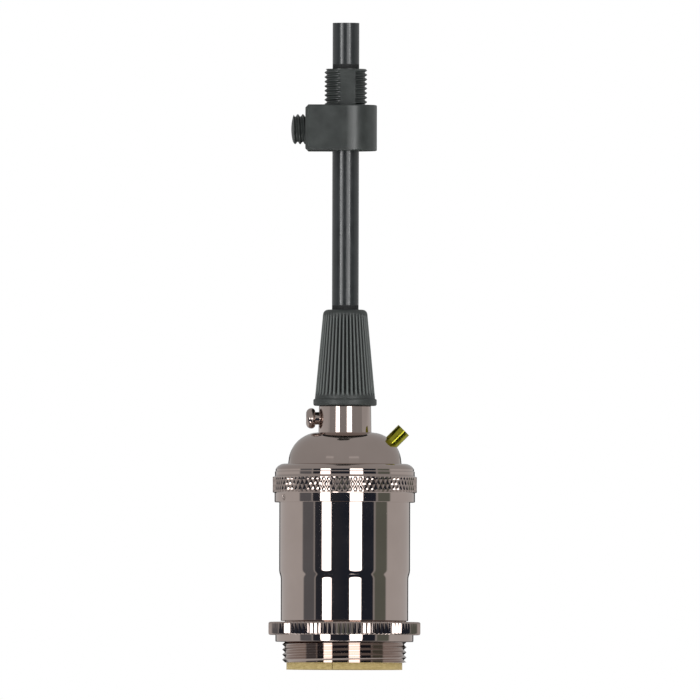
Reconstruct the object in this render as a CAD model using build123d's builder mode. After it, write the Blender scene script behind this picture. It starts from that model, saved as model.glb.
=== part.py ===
from build123d import *
from math import cos, pi, radians, sin, sqrt
import os

# A pendant lamp holder on its cord, with the cord grip that holds it in a ceiling canopy.
# Millimetres. +Z is up, along the cord. The origin is on the cord's axis at the shoulder below
# the cord grip's threaded spigot. Both set screws face -X, and the dome's guide tube faces +X.

os.makedirs("parts", exist_ok=True)

# Clearances
running_fit = 0.05  # radial, a screw or a ring in its thread
sliding_fit = 0.1  # radial, parts that are pushed together
moving_gap = 0.3  # between faces of parts that move apart
solder_gap = 0.02

# Cord
cord_diameter = 7.8
cord_above_spigot = 13.5
cord_below_block = 46.6
cord_tail_in_dome = 3.7  # jacket that shows inside the dome
core_diameter = 2.4
conductor_diameter = 1.2
wire_clamp_gap = 0.02

# Cord grip
spigot_diameter = 12.44
spigot_length = 10.6
spigot_flat_width = 4.6
spigot_tip_chamfer = 0.4
block_height = 13.45
block_round_radius = 9.15
block_reach = 11.85
block_end_chamfer = 0.9
cord_bore_clearance = 0.15
grip_screw_diameter = 8.8
grip_screw_drop = 7.1
grip_screw_stand_out = 4.15
grip_screw_crown = 0.5
grip_screw_chamfer = 0.7
grip_slot_width = 1.3
grip_slot_depth = 1.8

# Strain relief
relief_height = 26.2
relief_top_diameter = 12.8
relief_base_diameter = 17.7
relief_shoulder_radius = 1.9
relief_flange_diameter = 18.6
relief_flange_thickness = 2.0
relief_flange_round = 0.35
relief_spigot_length = 6.0
rib_count = 40
rib_groove_width = 0.75
rib_groove_depth = 0.4
rib_margin = 1.1

# Cap
neck_diameter = 15.5
neck_wall = 1.2
neck_height = 7.8
neck_edge = 0.3
neck_over_dome = 0.25
cap_wall = 1.0
cap_shell_gap = 0.4
shoulder_width = 4.05
shoulder_round = 2.9
shoulder_fall = 0.2
shoulder_to_bead = 1.1
bead_height = 4.5
bead_stand_out = 0.55
bead_edge = 0.3
skirt_below_bead = 2.8
dimple_angle = 210.0
dimple_radius = 0.9
dimple_depth = 0.45
dimple_drop = 1.4

# Cap screw
cap_screw_drop = 3.7
cap_screw_shank = 3.7
cap_screw_head = 6.0
cap_screw_head_length = 2.7
cap_screw_head_round = 1.0
cap_screw_neck_gap = 0.95
cap_screw_bite = 1.2
cap_screw_slot = 0.8
cap_screw_slot_depth = 1.1
cap_screw_countersink = 0.45

# Guide tube
tube_diameter = 4.4
tube_bore = 3.4
tube_tilt = 45.0
tube_stand_out = 4.75
tube_inside = 0.3

# Outer shell
shell_above_skirt_end = 8.7
shell_radius = 19.2
shell_upper_wall = 1.1
shell_upper_below_skirt = 20.1
shell_step_height = 3.2
shell_step_depth = 0.5
shell_lower_height = 11.5
thread_shoulder = 0.48
thread_wall = 1.12
thread_end_chamfer = 0.4
ring_to_shell_end = 6.1

# Shade ring
ring_wall = 1.98
ring_flange_width = 2.05
ring_flange_height = 3.8
ring_flange_chamfer = 0.6
ring_skirt_height = 2.0
flute_count = 100
flute_width = 1.0
flute_depth = 0.4

# Liner
liner_wall = 0.8
liner_stand_out = 2.1
liner_seam_width = 0.25
liner_seam_angle = 258.0
liner_top_gap = 0.1

# Insert
insert_flange_thickness = 4.0
insert_boss_gap = 0.4
insert_boss_height = 4.3
insert_edge = 0.5
insert_top_inset = 0.8
insert_top_height = 8.7
insert_flat = 8.5
terminal_hole_depth = 4.0
neutral_pocket_width = 8.4
neutral_pocket_depth = 3.2

# Screw shell for an E26 lamp cap
lamp_thread_minor_radius = 12.35
lamp_thread_major_radius = 13.35
lamp_thread_pitch = 25.4 / 7
lamp_thread_half_waves = 7
screw_shell_wall = 0.4
collar_height = 4.0
end_plate_hole_radius = 6.5

# Screws of the insert
shell_screw_offset = 10.0
shell_screw_diameter = 2.4
shell_screw_head = 4.2
shell_screw_head_height = 1.3
terminal_screw_diameter = 3.0
terminal_screw_length = 4.0
terminal_screw_head = 6.0
terminal_screw_head_height = 2.0
screw_slot_width = 0.7
screw_slot_depth = 0.7
hole_clearance = 0.05

# Centre contact and its spring
contact_diameter = 4.4
contact_stand_out = 5.2
contact_tip_round = 1.0
contact_collar_diameter = 6.2
contact_collar_height = 1.0
contact_pin_diameter = 2.4
contact_pin_height = 3.4
chamber_diameter = 7.0
chamber_floor_thickness = 3.5
spring_diameter = 5.4
spring_wire = 0.5
spring_turns = 6

# Terminals and earth strip
terminal_thickness = 1.0
terminal_width = 7.0
terminal_screw_rise = 5.1
line_strap_reach = 4.5
line_leg_length = 8.5
neutral_leg_top = 3.0
neutral_foot_reach = 12.5
earth_strip_thickness = 0.8
earth_strip_width = 6.0
earth_strip_start = 6.0
earth_leg_height = 7.0
earth_wall_gap = 0.15
earth_screw_inset = 5.0
earth_screw_diameter = 2.8
earth_screw_length = 6.0
earth_screw_head = 5.6
earth_screw_head_height = 1.8

# Leads
lead_start_radius = 1.75
lead_straight = 5.0
lead_end_gap = 0.4
lead_tip_below_screw = 2.4
lead_bends = (6.0, 6.0, 5.0)
line_core_bend = (6.5, -1.6)
line_core_drops = (8.0, 13.5)
neutral_core_bend = (-6.0, -1.7)
neutral_core_drops = (7.0, 14.5)
earth_core_bend = (1.0, 4.4)
earth_core_drops = (8.5, 14.0)
earth_bare_length = 3.6
earth_bare_rise = 1.7
earth_bend = 0.9

# Radii and heights that follow from the sizes above
cord_radius = cord_diameter / 2
spigot_radius = spigot_diameter / 2
block_bottom = -block_height
relief_top = block_bottom - cord_below_block
flange_top = relief_top - relief_height
neck_top = flange_top - relief_flange_thickness
relief_bore_radius = cord_radius + sliding_fit
neck_radius = neck_diameter / 2
neck_bore_radius = neck_radius - neck_wall
relief_spigot_radius = neck_bore_radius - running_fit
relief_end = neck_top - relief_spigot_length
cap_inner_radius = shell_radius + cap_shell_gap
cap_radius = cap_inner_radius + cap_wall
dome_base_radius = cap_radius - shoulder_width
dome_centre_x = neck_radius - neck_over_dome
dome_radius = dome_base_radius - dome_centre_x
dome_top = neck_top - neck_height
dome_base = dome_top - sqrt(dome_radius**2 - (neck_radius - dome_centre_x) ** 2)
shoulder_top = dome_base - shoulder_fall
shoulder_base = shoulder_top - shoulder_round
bead_top = shoulder_base - shoulder_to_bead
bead_base = bead_top - bead_height
skirt_end = bead_base - skirt_below_bead
shell_top = skirt_end + shell_above_skirt_end
shell_bore_radius = shell_radius - shell_upper_wall
ledge = skirt_end - shell_upper_below_skirt
step_end = ledge - shell_step_height
shell_lower_radius = shell_radius - shell_step_depth
thread_radius = shell_lower_radius - thread_shoulder
thread_bore_radius = thread_radius - thread_wall
ring_stop = step_end - shell_lower_height
ring_top = ring_stop - moving_gap
ring_flange_end = ring_top - ring_flange_height
ring_end = ring_flange_end - ring_skirt_height
ring_bore_radius = thread_radius + running_fit
ring_skirt_radius = ring_bore_radius + ring_wall
ring_radius = ring_skirt_radius + ring_flange_width
shell_end = ring_end - ring_to_shell_end
mouth = shell_end - liner_stand_out
liner_radius = thread_bore_radius - sliding_fit
insert_boss_radius = liner_radius - liner_wall - insert_boss_gap
insert_top_radius = insert_boss_radius - insert_top_inset
insert_flange_radius = shell_bore_radius - 1.5 * sliding_fit
flange_face = ledge + insert_flange_thickness
insert_top = flange_face + insert_top_height
insert_face = ledge - insert_boss_height
chamber_floor = insert_face + chamber_floor_thickness
plate_face = insert_face - screw_shell_wall
lamp_thread_mean = (lamp_thread_minor_radius + lamp_thread_major_radius) / 2
lamp_thread_start = plate_face - lamp_thread_pitch * (lamp_thread_half_waves / 2 + 0.5)
collar_end = lamp_thread_start - collar_height
contact_tip = insert_face - contact_stand_out
contact_collar_base = chamber_floor + moving_gap / 3
terminal_height = flange_face + terminal_screw_rise
pocket_floor = flange_face - neutral_pocket_depth
shell_screw_length = pocket_floor + terminal_thickness - insert_face
terminal_face = insert_flat + terminal_thickness
wire_space = conductor_diameter + 2 * wire_clamp_gap
wire_x = terminal_face + wire_space / 2
wire_y = terminal_screw_diameter / 2 + hole_clearance + conductor_diameter / 2
earth_top = insert_top + earth_strip_thickness
earth_screw_offset = insert_top_radius - earth_screw_inset
cord_tail_end = relief_end - cord_tail_in_dome

# The cord grip's body is one black nylon moulding: a D-shaped block, a spigot with two flats
# that screws into the canopy, a bore for the cord and a tapped cross hole for the grip screw.
spigot_flat_y = sqrt(spigot_radius**2 - (spigot_flat_width / 2) ** 2)
cord_bore_radius = cord_radius + cord_bore_clearance
with BuildPart() as cord_grip_body:
    with BuildSketch(Plane.XY.offset(block_bottom)):
        Circle(block_round_radius)
        Rectangle(block_reach, 2 * block_round_radius, align=(Align.MAX, Align.CENTER))
    extrude(amount=block_height)
    chamfer(
        cord_grip_body.faces().sort_by(Axis.X)[0].edges(), length=block_end_chamfer
    )
    with BuildSketch(Plane.XY):
        Circle(spigot_radius)
        Rectangle(spigot_diameter, 2 * spigot_flat_y, mode=Mode.INTERSECT)
    extrude(amount=spigot_length)
    chamfer(
        cord_grip_body.faces().sort_by(Axis.Z)[-1].edges(), length=spigot_tip_chamfer
    )
    with BuildSketch(Plane.XY.offset(block_bottom)):
        Circle(cord_bore_radius)
    extrude(amount=block_height + spigot_length, mode=Mode.SUBTRACT)
    cross_hole = Plane((-block_reach, 0, -grip_screw_drop), x_dir=(0, 1, 0), z_dir=(1, 0, 0))
    with BuildSketch(cross_hole):
        Circle(grip_screw_diameter / 2 + running_fit)
    extrude(amount=block_reach, mode=Mode.SUBTRACT)
cord_grip_body.part.label = "cord_grip_body"
export_step(cord_grip_body.part, "parts/cord_grip_body.step")

# The grip screw is a headless black nylon screw with a slightly crowned, slotted end.
grip_axis = Axis((0, 0, -grip_screw_drop), (1, 0, 0))
grip_end_x = -block_reach - grip_screw_stand_out
grip_tip_x = -cord_radius - moving_gap
grip_edge_z = grip_screw_diameter / 2 - grip_screw_drop
with BuildPart() as cord_grip_screw:
    with BuildSketch(Plane.XZ):
        with BuildLine():
            Polyline(
                (grip_end_x, -grip_screw_drop),
                (grip_tip_x, -grip_screw_drop),
                (grip_tip_x, grip_edge_z - grip_screw_chamfer),
                (grip_tip_x - grip_screw_chamfer, grip_edge_z),
                (grip_end_x + grip_screw_crown, grip_edge_z),
            )
            TangentArc(
                (grip_end_x, -grip_screw_drop),
                (grip_end_x + grip_screw_crown, grip_edge_z),
                tangent=(0, 1),
                tangent_from_first=True,
            )
        make_face()
    revolve(axis=grip_axis)
    slot_plane = Plane((grip_end_x, 0, -grip_screw_drop), x_dir=(0, 1, 0), z_dir=(1, 0, 0))
    with BuildSketch(slot_plane):
        Rectangle(grip_slot_width, grip_screw_diameter)
    extrude(amount=grip_slot_depth, mode=Mode.SUBTRACT)
cord_grip_screw.part.label = "cord_grip_screw"
export_step(cord_grip_screw.part, "parts/cord_grip_screw.step")

# The cord's free stretch runs straight from the strain relief through the grip.
cord_top = spigot_length + cord_above_spigot
with BuildPart() as cord:
    with BuildSketch(Plane.XY.offset(relief_top)):
        Circle(cord_radius)
    extrude(amount=cord_top - relief_top)
cord.part.label = "cord"
export_step(cord.part, "parts/cord.step")

# The cord's tail is the same jacket inside the strain relief, stripped below the neck.
with BuildPart() as cord_tail:
    with BuildSketch(Plane.XY.offset(cord_tail_end)):
        Circle(cord_radius)
    extrude(amount=relief_top - cord_tail_end)
cord_tail.part.label = "cord_tail"
export_step(cord_tail.part, "parts/cord_tail.step")

# The strain relief is a rubber cone with ribs along its length, a flange that lies on the
# neck, and a spigot inside the neck with a pocket that the cap screw bites in.
cap_screw_height = neck_top - cap_screw_drop
relief_top_radius = relief_top_diameter / 2
relief_base_radius = relief_base_diameter / 2
slant = Vector(relief_top_radius - relief_base_radius, 0, relief_height).normalized()
with BuildPart() as rib_groove:
    with BuildSketch(
        Plane((relief_base_radius, 0, flange_top), x_dir=(0, 1, 0), z_dir=slant).offset(rib_margin)
    ):
        with BuildLine():
            Polyline(
                (0, rib_groove_depth),
                (-rib_groove_width, -rib_groove_depth),
                (rib_groove_width, -rib_groove_depth),
                close=True,
            )
        make_face()
    extrude(amount=relief_height - rib_margin - relief_shoulder_radius)
with BuildPart() as strain_relief:
    with BuildSketch(Plane.XZ):
        with BuildLine():
            Polyline(
                (relief_bore_radius, relief_top),
                (relief_top_radius, relief_top),
                (relief_base_radius, flange_top),
                (relief_flange_diameter / 2, flange_top),
                (relief_flange_diameter / 2, neck_top),
                (relief_spigot_radius, neck_top),
                (relief_spigot_radius, relief_end),
                (relief_bore_radius, relief_end),
                close=True,
            )
        make_face()
    revolve(axis=Axis.Z)
    flange_rims = strain_relief.edges().filter_by(GeomType.CIRCLE).sort_by(SortBy.RADIUS)[-2:]
    fillet(flange_rims, radius=relief_flange_round)
    top_rim = strain_relief.faces().sort_by(Axis.Z)[-1].edges().sort_by(SortBy.RADIUS)[-1]
    fillet(top_rim, radius=relief_shoulder_radius)
    with PolarLocations(0, rib_count):
        add(rib_groove.part, mode=Mode.SUBTRACT)
    relief_pocket = Plane(
        (-relief_spigot_radius, 0, cap_screw_height), x_dir=(0, 1, 0), z_dir=(1, 0, 0)
    )
    with BuildSketch(relief_pocket):
        Circle(cap_screw_shank / 2 + moving_gap)
    extrude(amount=cap_screw_bite + moving_gap, mode=Mode.SUBTRACT)
strain_relief.part.label = "strain_relief"
export_step(strain_relief.part, "parts/strain_relief.step")

# The cap is one drawn and turned brass piece: a neck, a quarter-round dome, a rounded
# shoulder, a raised bead and a skirt that is staked to the shell by two dimples.
tube_direction = Vector(cos(radians(tube_tilt)), 0, sin(radians(tube_tilt)))
dome_centre = Vector(dome_centre_x, 0, dome_base)
tube_foot = dome_centre + tube_direction * (dome_radius - cap_wall - tube_inside)
tube_length = tube_inside + cap_wall + tube_stand_out
shoulder_x = cap_radius - shoulder_round
inner_dome_radius = dome_radius - cap_wall
inner_dome_top = dome_base + sqrt(inner_dome_radius**2 - (neck_bore_radius - dome_centre_x) ** 2)
half_turn = sqrt(0.5)
dimple_height = bead_base - dimple_drop
with BuildPart() as cap:
    with BuildSketch(Plane.XZ):
        with BuildLine():
            Line((neck_bore_radius, neck_top), (neck_radius, neck_top))
            Line((neck_radius, neck_top), (neck_radius, dome_top))
            ThreePointArc(
                (neck_radius, dome_top),
                (dome_centre_x + dome_radius * half_turn, dome_base + dome_radius * half_turn),
                (dome_base_radius, dome_base),
            )
            Line((dome_base_radius, dome_base), (shoulder_x, shoulder_top))
            RadiusArc((shoulder_x, shoulder_top), (cap_radius, shoulder_base), shoulder_round)
            Polyline(
                (cap_radius, shoulder_base),
                (cap_radius, bead_top),
                (cap_radius + bead_stand_out, bead_top - bead_edge),
                (cap_radius + bead_stand_out, bead_base + bead_edge),
                (cap_radius, bead_base),
                (cap_radius, skirt_end),
                (cap_inner_radius, skirt_end),
                (cap_inner_radius, shoulder_base),
            )
            RadiusArc(
                (cap_inner_radius, shoulder_base),
                (shoulder_x, shoulder_top - cap_wall),
                -(shoulder_round - cap_wall),
            )
            Polyline(
                (shoulder_x, shoulder_top - cap_wall),
                (dome_base_radius - cap_wall, dome_base - cap_wall),
                (dome_base_radius - cap_wall, dome_base),
            )
            ThreePointArc(
                (dome_base_radius - cap_wall, dome_base),
                (
                    dome_centre_x + inner_dome_radius * half_turn,
                    dome_base + inner_dome_radius * half_turn,
                ),
                (neck_bore_radius, inner_dome_top),
            )
            Line((neck_bore_radius, inner_dome_top), (neck_bore_radius, neck_top))
        make_face()
    revolve(axis=Axis.Z)
    neck_rim = cap.faces().sort_by(Axis.Z)[-1].edges().sort_by(SortBy.RADIUS)[-1]
    chamfer(neck_rim, length=neck_edge)
    screw_plane = Plane((-neck_radius, 0, cap_screw_height), x_dir=(0, 1, 0), z_dir=(1, 0, 0))
    with BuildSketch(screw_plane):
        Circle(cap_screw_shank / 2 + running_fit)
    extrude(amount=neck_radius - relief_bore_radius, mode=Mode.SUBTRACT)
    with BuildSketch(screw_plane.offset(-cap_screw_countersink)):
        Circle(cap_screw_shank / 2 + running_fit + 2 * cap_screw_countersink)
    extrude(amount=2 * cap_screw_countersink, taper=45, mode=Mode.SUBTRACT)
    with BuildSketch(Plane(tube_foot, x_dir=(0, 1, 0), z_dir=tube_direction)):
        Circle(tube_diameter / 2 + solder_gap)
    extrude(amount=tube_length, mode=Mode.SUBTRACT)
    for turn in (0, 180):
        outward = Vector(1, 0, 0).rotate(Axis.Z, dimple_angle + turn)
        foot = outward * (shell_radius + running_fit) + Vector(0, 0, dimple_height)
        with BuildSketch(Plane(foot, x_dir=(0, 0, 1), z_dir=outward)):
            Circle(dimple_radius)
        extrude(amount=cap_radius - shell_radius - dimple_depth, mode=Mode.ADD)
        with BuildSketch(
            Plane(foot, x_dir=(0, 0, 1), z_dir=outward).offset(
                cap_radius - shell_radius - running_fit - dimple_depth
            )
        ):
            Circle(dimple_radius)
        extrude(amount=2 * dimple_depth, mode=Mode.SUBTRACT)
cap.part.label = "cap"
export_step(cap.part, "parts/cap.step")

# The cap screw is a small turned screw with a rounded, slotted head.
cap_screw_axis = Axis((0, 0, cap_screw_height), (1, 0, 0))
head_inner_x = -neck_radius - cap_screw_neck_gap
head_outer_x = head_inner_x - cap_screw_head_length
screw_tip_x = -relief_spigot_radius + cap_screw_bite
head_edge_z = cap_screw_height + cap_screw_head / 2
shank_edge_z = cap_screw_height + cap_screw_shank / 2
with BuildPart() as cap_screw:
    with BuildSketch(Plane.XZ):
        with BuildLine():
            Polyline(
                (head_outer_x, cap_screw_height),
                (screw_tip_x, cap_screw_height),
                (screw_tip_x, shank_edge_z),
                (head_inner_x, shank_edge_z),
                (head_inner_x, head_edge_z),
                (head_outer_x, head_edge_z),
                close=True,
            )
        make_face()
    revolve(axis=cap_screw_axis)
    head_rims = cap_screw.edges().filter_by(GeomType.CIRCLE).sort_by(SortBy.RADIUS)[-2:]
    fillet(head_rims, radius=cap_screw_head_round)
    with BuildSketch(
        Plane((head_outer_x, 0, cap_screw_height), x_dir=(0, 1, 0), z_dir=(1, 0, 0))
    ):
        Rectangle(cap_screw_slot, cap_screw_head)
    extrude(amount=cap_screw_slot_depth, mode=Mode.SUBTRACT)
cap_screw.part.label = "cap_screw"
export_step(cap_screw.part, "parts/cap_screw.step")

# The guide tube is a short length of brass tube, soldered square to the dome.
with BuildPart() as guide_tube:
    with BuildSketch(Plane(tube_foot, x_dir=(0, 1, 0), z_dir=tube_direction)):
        Circle(tube_diameter / 2)
        Circle(tube_bore / 2, mode=Mode.SUBTRACT)
    extrude(amount=tube_length)
guide_tube.part.label = "guide_tube"
export_step(guide_tube.part, "parts/guide_tube.step")

# The outer shell is turned brass, plated. Its upper bore is wider, so that the insert rests
# on a ledge, and its lower end carries the outside thread for shade and ring.
step_middle = (ledge + step_end) / 2
with BuildPart() as outer_shell:
    with BuildSketch(Plane.XZ):
        with BuildLine():
            Polyline(
                (shell_lower_radius, step_end),
                (shell_lower_radius, ring_stop),
                (thread_radius, ring_stop),
                (thread_radius, shell_end + thread_end_chamfer),
                (thread_radius - thread_end_chamfer, shell_end),
                (thread_bore_radius, shell_end),
                (thread_bore_radius, ledge),
                (shell_bore_radius, ledge),
                (shell_bore_radius, shell_top),
                (shell_radius, shell_top),
                (shell_radius, ledge),
            )
            Bezier(
                (shell_radius, ledge),
                (shell_radius, step_middle),
                (shell_lower_radius, step_middle),
                (shell_lower_radius, step_end),
            )
        make_face()
    revolve(axis=Axis.Z)
outer_shell.part.label = "outer_shell"
export_step(outer_shell.part, "parts/outer_shell.step")

# The shade ring is turned brass with straight flutes across its flange.
with BuildPart() as flute:
    with BuildSketch(Plane.XY.offset(ring_flange_end)):
        with BuildLine():
            Polyline(
                (ring_radius - flute_depth, 0),
                (ring_radius + flute_depth, -flute_width),
                (ring_radius + flute_depth, flute_width),
                close=True,
            )
        make_face()
    extrude(amount=ring_flange_height)
with BuildPart() as shade_ring:
    with BuildSketch(Plane.XZ):
        with BuildLine():
            Polyline(
                (ring_bore_radius, ring_top),
                (ring_radius, ring_top),
                (ring_radius, ring_flange_end),
                (ring_skirt_radius, ring_flange_end),
                (ring_skirt_radius, ring_end),
                (ring_bore_radius, ring_end),
                close=True,
            )
        make_face()
    revolve(axis=Axis.Z)
    ring_rims = shade_ring.edges().filter_by(GeomType.CIRCLE).sort_by(SortBy.RADIUS)[-2:]
    chamfer(ring_rims, length=ring_flange_chamfer)
    with PolarLocations(0, flute_count):
        add(flute.part, mode=Mode.SUBTRACT)
shade_ring.part.label = "shade_ring"
export_step(shade_ring.part, "parts/shade_ring.step")

# The liner is vulcanised fibre sheet, rolled to a tube whose edges meet in a seam.
with BuildPart() as insulating_liner:
    with BuildSketch(Plane.XY.offset(mouth)):
        Circle(liner_radius)
        Circle(liner_radius - liner_wall, mode=Mode.SUBTRACT)
        with PolarLocations(liner_radius - liner_wall / 2, 1, start_angle=liner_seam_angle):
            Rectangle(2 * liner_wall, liner_seam_width, mode=Mode.SUBTRACT)
    extrude(amount=ledge - liner_top_gap - mouth)
insulating_liner.part.label = "insulating_liner"
export_step(insulating_liner.part, "parts/insulating_liner.step")

# The insert is pressed porcelain: a flange on the shell's ledge, a boss below it for the
# screw shell, and a block above it with flats for the terminals and a chamber for the spring.
with BuildPart() as insert_body:
    with BuildSketch(Plane.XY.offset(insert_face)):
        Circle(insert_boss_radius)
    extrude(amount=insert_boss_height)
    chamfer(insert_body.faces().sort_by(Axis.Z)[0].edges(), length=insert_edge)
    with BuildSketch(Plane.XY.offset(ledge)):
        Circle(insert_flange_radius)
    extrude(amount=insert_flange_thickness)
    with BuildSketch(Plane.XY.offset(flange_face)):
        Circle(insert_top_radius)
        Rectangle(2 * insert_flat, 2 * insert_top_radius, mode=Mode.INTERSECT)
    extrude(amount=insert_top_height)
    with BuildSketch(Plane.XY.offset(chamber_floor)):
        Circle(chamber_diameter / 2)
    extrude(amount=insert_top - chamber_floor, mode=Mode.SUBTRACT)
    with BuildSketch(Plane.XY.offset(insert_face)):
        Circle(contact_diameter / 2 + running_fit)
    extrude(amount=chamber_floor_thickness, mode=Mode.SUBTRACT)
    with BuildSketch(Plane.XY.offset(insert_face)):
        with Locations((-shell_screw_offset, 0), (shell_screw_offset, 0)):
            Circle(shell_screw_diameter / 2 + hole_clearance)
    extrude(amount=shell_screw_length, mode=Mode.SUBTRACT)
    with BuildSketch(Plane.XY.offset(pocket_floor)):
        with Locations((-insert_flat, 0)):
            Rectangle(
                neutral_foot_reach - insert_flat + moving_gap,
                neutral_pocket_width,
                align=(Align.MAX, Align.CENTER),
            )
    extrude(amount=neutral_pocket_depth, mode=Mode.SUBTRACT)
    for side in (-1, 1):
        hole_plane = Plane(
            (side * insert_flat, 0, terminal_height), x_dir=(0, 1, 0), z_dir=(-side, 0, 0)
        )
        with BuildSketch(hole_plane):
            Circle(terminal_screw_diameter / 2 + hole_clearance)
        extrude(amount=terminal_hole_depth, mode=Mode.SUBTRACT)
    with BuildSketch(Plane.XY.offset(insert_top)):
        with Locations((0, earth_screw_offset)):
            Circle(earth_screw_diameter / 2 + hole_clearance)
    extrude(amount=-earth_screw_length, mode=Mode.SUBTRACT)
insert_body.part.label = "insert_body"
export_step(insert_body.part, "parts/insert_body.step")


def rolled_wall(offset):
    """One side of the screw shell's wall, from the collar's mouth up to the end plate."""
    mean, crest = lamp_thread_mean + offset, lamp_thread_major_radius + offset
    depth = lamp_thread_major_radius - lamp_thread_mean
    quarter = lamp_thread_pitch / 4
    height = lamp_thread_start + quarter
    points = [(crest, collar_end), (crest, lamp_thread_start)]
    side = -1
    for _ in range(lamp_thread_half_waves):
        points.append((mean + side * depth, height + quarter))
        height += 2 * quarter
        side = -side
    Polyline(*points, (mean, height))
    return mean, height


# The screw shell is rolled from brass sheet, with a plain collar at its mouth and an end
# plate that the shell screws clamp to the insert. Its round waves have straight sides here.
with BuildPart() as screw_shell:
    with BuildSketch(Plane.XZ):
        with BuildLine():
            inner_end = rolled_wall(0)
            outer_end = rolled_wall(screw_shell_wall)
            Line(
                (lamp_thread_major_radius, collar_end),
                (lamp_thread_major_radius + screw_shell_wall, collar_end),
            )
            Polyline(
                inner_end,
                (inner_end[0], plate_face),
                (end_plate_hole_radius, plate_face),
                (end_plate_hole_radius, insert_face),
                (outer_end[0], insert_face),
                outer_end,
            )
        make_face()
    revolve(axis=Axis.Z)
    with BuildSketch(Plane.XY.offset(plate_face)):
        with Locations((-shell_screw_offset, 0), (shell_screw_offset, 0)):
            Circle(shell_screw_diameter / 2 + hole_clearance)
    extrude(amount=screw_shell_wall, mode=Mode.SUBTRACT)
screw_shell.part.label = "screw_shell"
export_step(screw_shell.part, "parts/screw_shell.step")

# Two cheese-head screws clamp the screw shell. The one on -X also carries the neutral.
with BuildPart() as shell_screws:
    with BuildSketch(Plane.XY.offset(plate_face)):
        with Locations((-shell_screw_offset, 0), (shell_screw_offset, 0)):
            Circle(shell_screw_diameter / 2)
    extrude(amount=shell_screw_length + screw_shell_wall)
    with BuildSketch(Plane.XY.offset(plate_face)):
        with Locations((-shell_screw_offset, 0), (shell_screw_offset, 0)):
            Circle(shell_screw_head / 2)
    extrude(amount=-shell_screw_head_height)
    with BuildSketch(Plane.XY.offset(plate_face - shell_screw_head_height)):
        with Locations((-shell_screw_offset, 0), (shell_screw_offset, 0)):
            Rectangle(screw_slot_width, shell_screw_head)
    extrude(amount=screw_slot_depth, mode=Mode.SUBTRACT)
shell_screws.part.label = "shell_screws"
export_step(shell_screws.part, "parts/shell_screws.step")

# The centre contact is a turned brass plunger: a rounded tip, a collar that stops on the
# chamber's floor, and a pin that centres the spring.
collar_top = contact_collar_base + contact_collar_height
with BuildPart() as centre_contact:
    with BuildSketch(Plane.XZ):
        with BuildLine():
            Polyline(
                (0, contact_tip),
                (contact_diameter / 2, contact_tip),
                (contact_diameter / 2, contact_collar_base),
                (contact_collar_diameter / 2, contact_collar_base),
                (contact_collar_diameter / 2, collar_top),
                (contact_pin_diameter / 2, collar_top),
                (contact_pin_diameter / 2, collar_top + contact_pin_height),
                (0, collar_top + contact_pin_height),
                close=True,
            )
        make_face()
    revolve(axis=Axis.Z)
    fillet(centre_contact.faces().sort_by(Axis.Z)[0].edges(), radius=contact_tip_round)
centre_contact.part.label = "centre_contact"
export_step(centre_contact.part, "parts/centre_contact.step")

# The contact spring stands between the collar and the line strap. Its wire is six-sided here,
# which keeps its facets few.
spring_base = collar_top + spring_wire / 2 + solder_gap
spring_length = insert_top - spring_wire / 2 - solder_gap - spring_base
spring_radius = (spring_diameter - spring_wire) / 2
with BuildPart() as contact_spring:
    with BuildLine():
        coil = Helix(
            pitch=spring_length / spring_turns,
            height=spring_length,
            radius=spring_radius,
            center=(0, 0, spring_base),
        )
    with BuildSketch(Plane(coil @ 0, z_dir=coil % 0)):
        RegularPolygon(spring_wire / 2, 6)
    sweep()
contact_spring.part.label = "contact_spring"
export_step(contact_spring.part, "parts/contact_spring.step")

# The line terminal is a brass strap over the chamber, bent down the insert's +X flat.
with BuildPart() as line_terminal:
    with BuildSketch(Plane.XZ.offset(-terminal_width / 2)):
        with BuildLine():
            Polyline(
                (-line_strap_reach, insert_top),
                (insert_flat, insert_top),
                (insert_flat, insert_top + terminal_thickness - line_leg_length),
                (terminal_face, insert_top + terminal_thickness - line_leg_length),
                (terminal_face, insert_top + terminal_thickness),
                (-line_strap_reach, insert_top + terminal_thickness),
                close=True,
            )
        make_face()
    extrude(amount=terminal_width)
    with BuildSketch(
        Plane((insert_flat, 0, terminal_height), x_dir=(0, 1, 0), z_dir=(1, 0, 0))
    ):
        Circle(terminal_screw_diameter / 2 + hole_clearance)
    extrude(amount=terminal_thickness, mode=Mode.SUBTRACT)
line_terminal.part.label = "line_terminal"
export_step(line_terminal.part, "parts/line_terminal.step")

# The neutral terminal is a brass angle whose foot lies in the insert's pocket.
neutral_top = terminal_height + neutral_leg_top
with BuildPart() as neutral_terminal:
    with BuildSketch(Plane.XZ.offset(-terminal_width / 2)):
        with BuildLine():
            Polyline(
                (-insert_flat, neutral_top),
                (-terminal_face, neutral_top),
                (-terminal_face, pocket_floor + terminal_thickness),
                (-neutral_foot_reach, pocket_floor + terminal_thickness),
                (-neutral_foot_reach, pocket_floor),
                (-insert_flat, pocket_floor),
                close=True,
            )
        make_face()
    extrude(amount=terminal_width)
    with BuildSketch(
        Plane((-insert_flat, 0, terminal_height), x_dir=(0, 1, 0), z_dir=(-1, 0, 0))
    ):
        Circle(terminal_screw_diameter / 2 + hole_clearance)
    extrude(amount=terminal_thickness, mode=Mode.SUBTRACT)
    with BuildSketch(Plane.XY.offset(pocket_floor)):
        with Locations((-shell_screw_offset, 0)):
            Circle(shell_screw_diameter / 2 + hole_clearance)
    extrude(amount=terminal_thickness, mode=Mode.SUBTRACT)
neutral_terminal.part.label = "neutral_terminal"
export_step(neutral_terminal.part, "parts/neutral_terminal.step")

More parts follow.
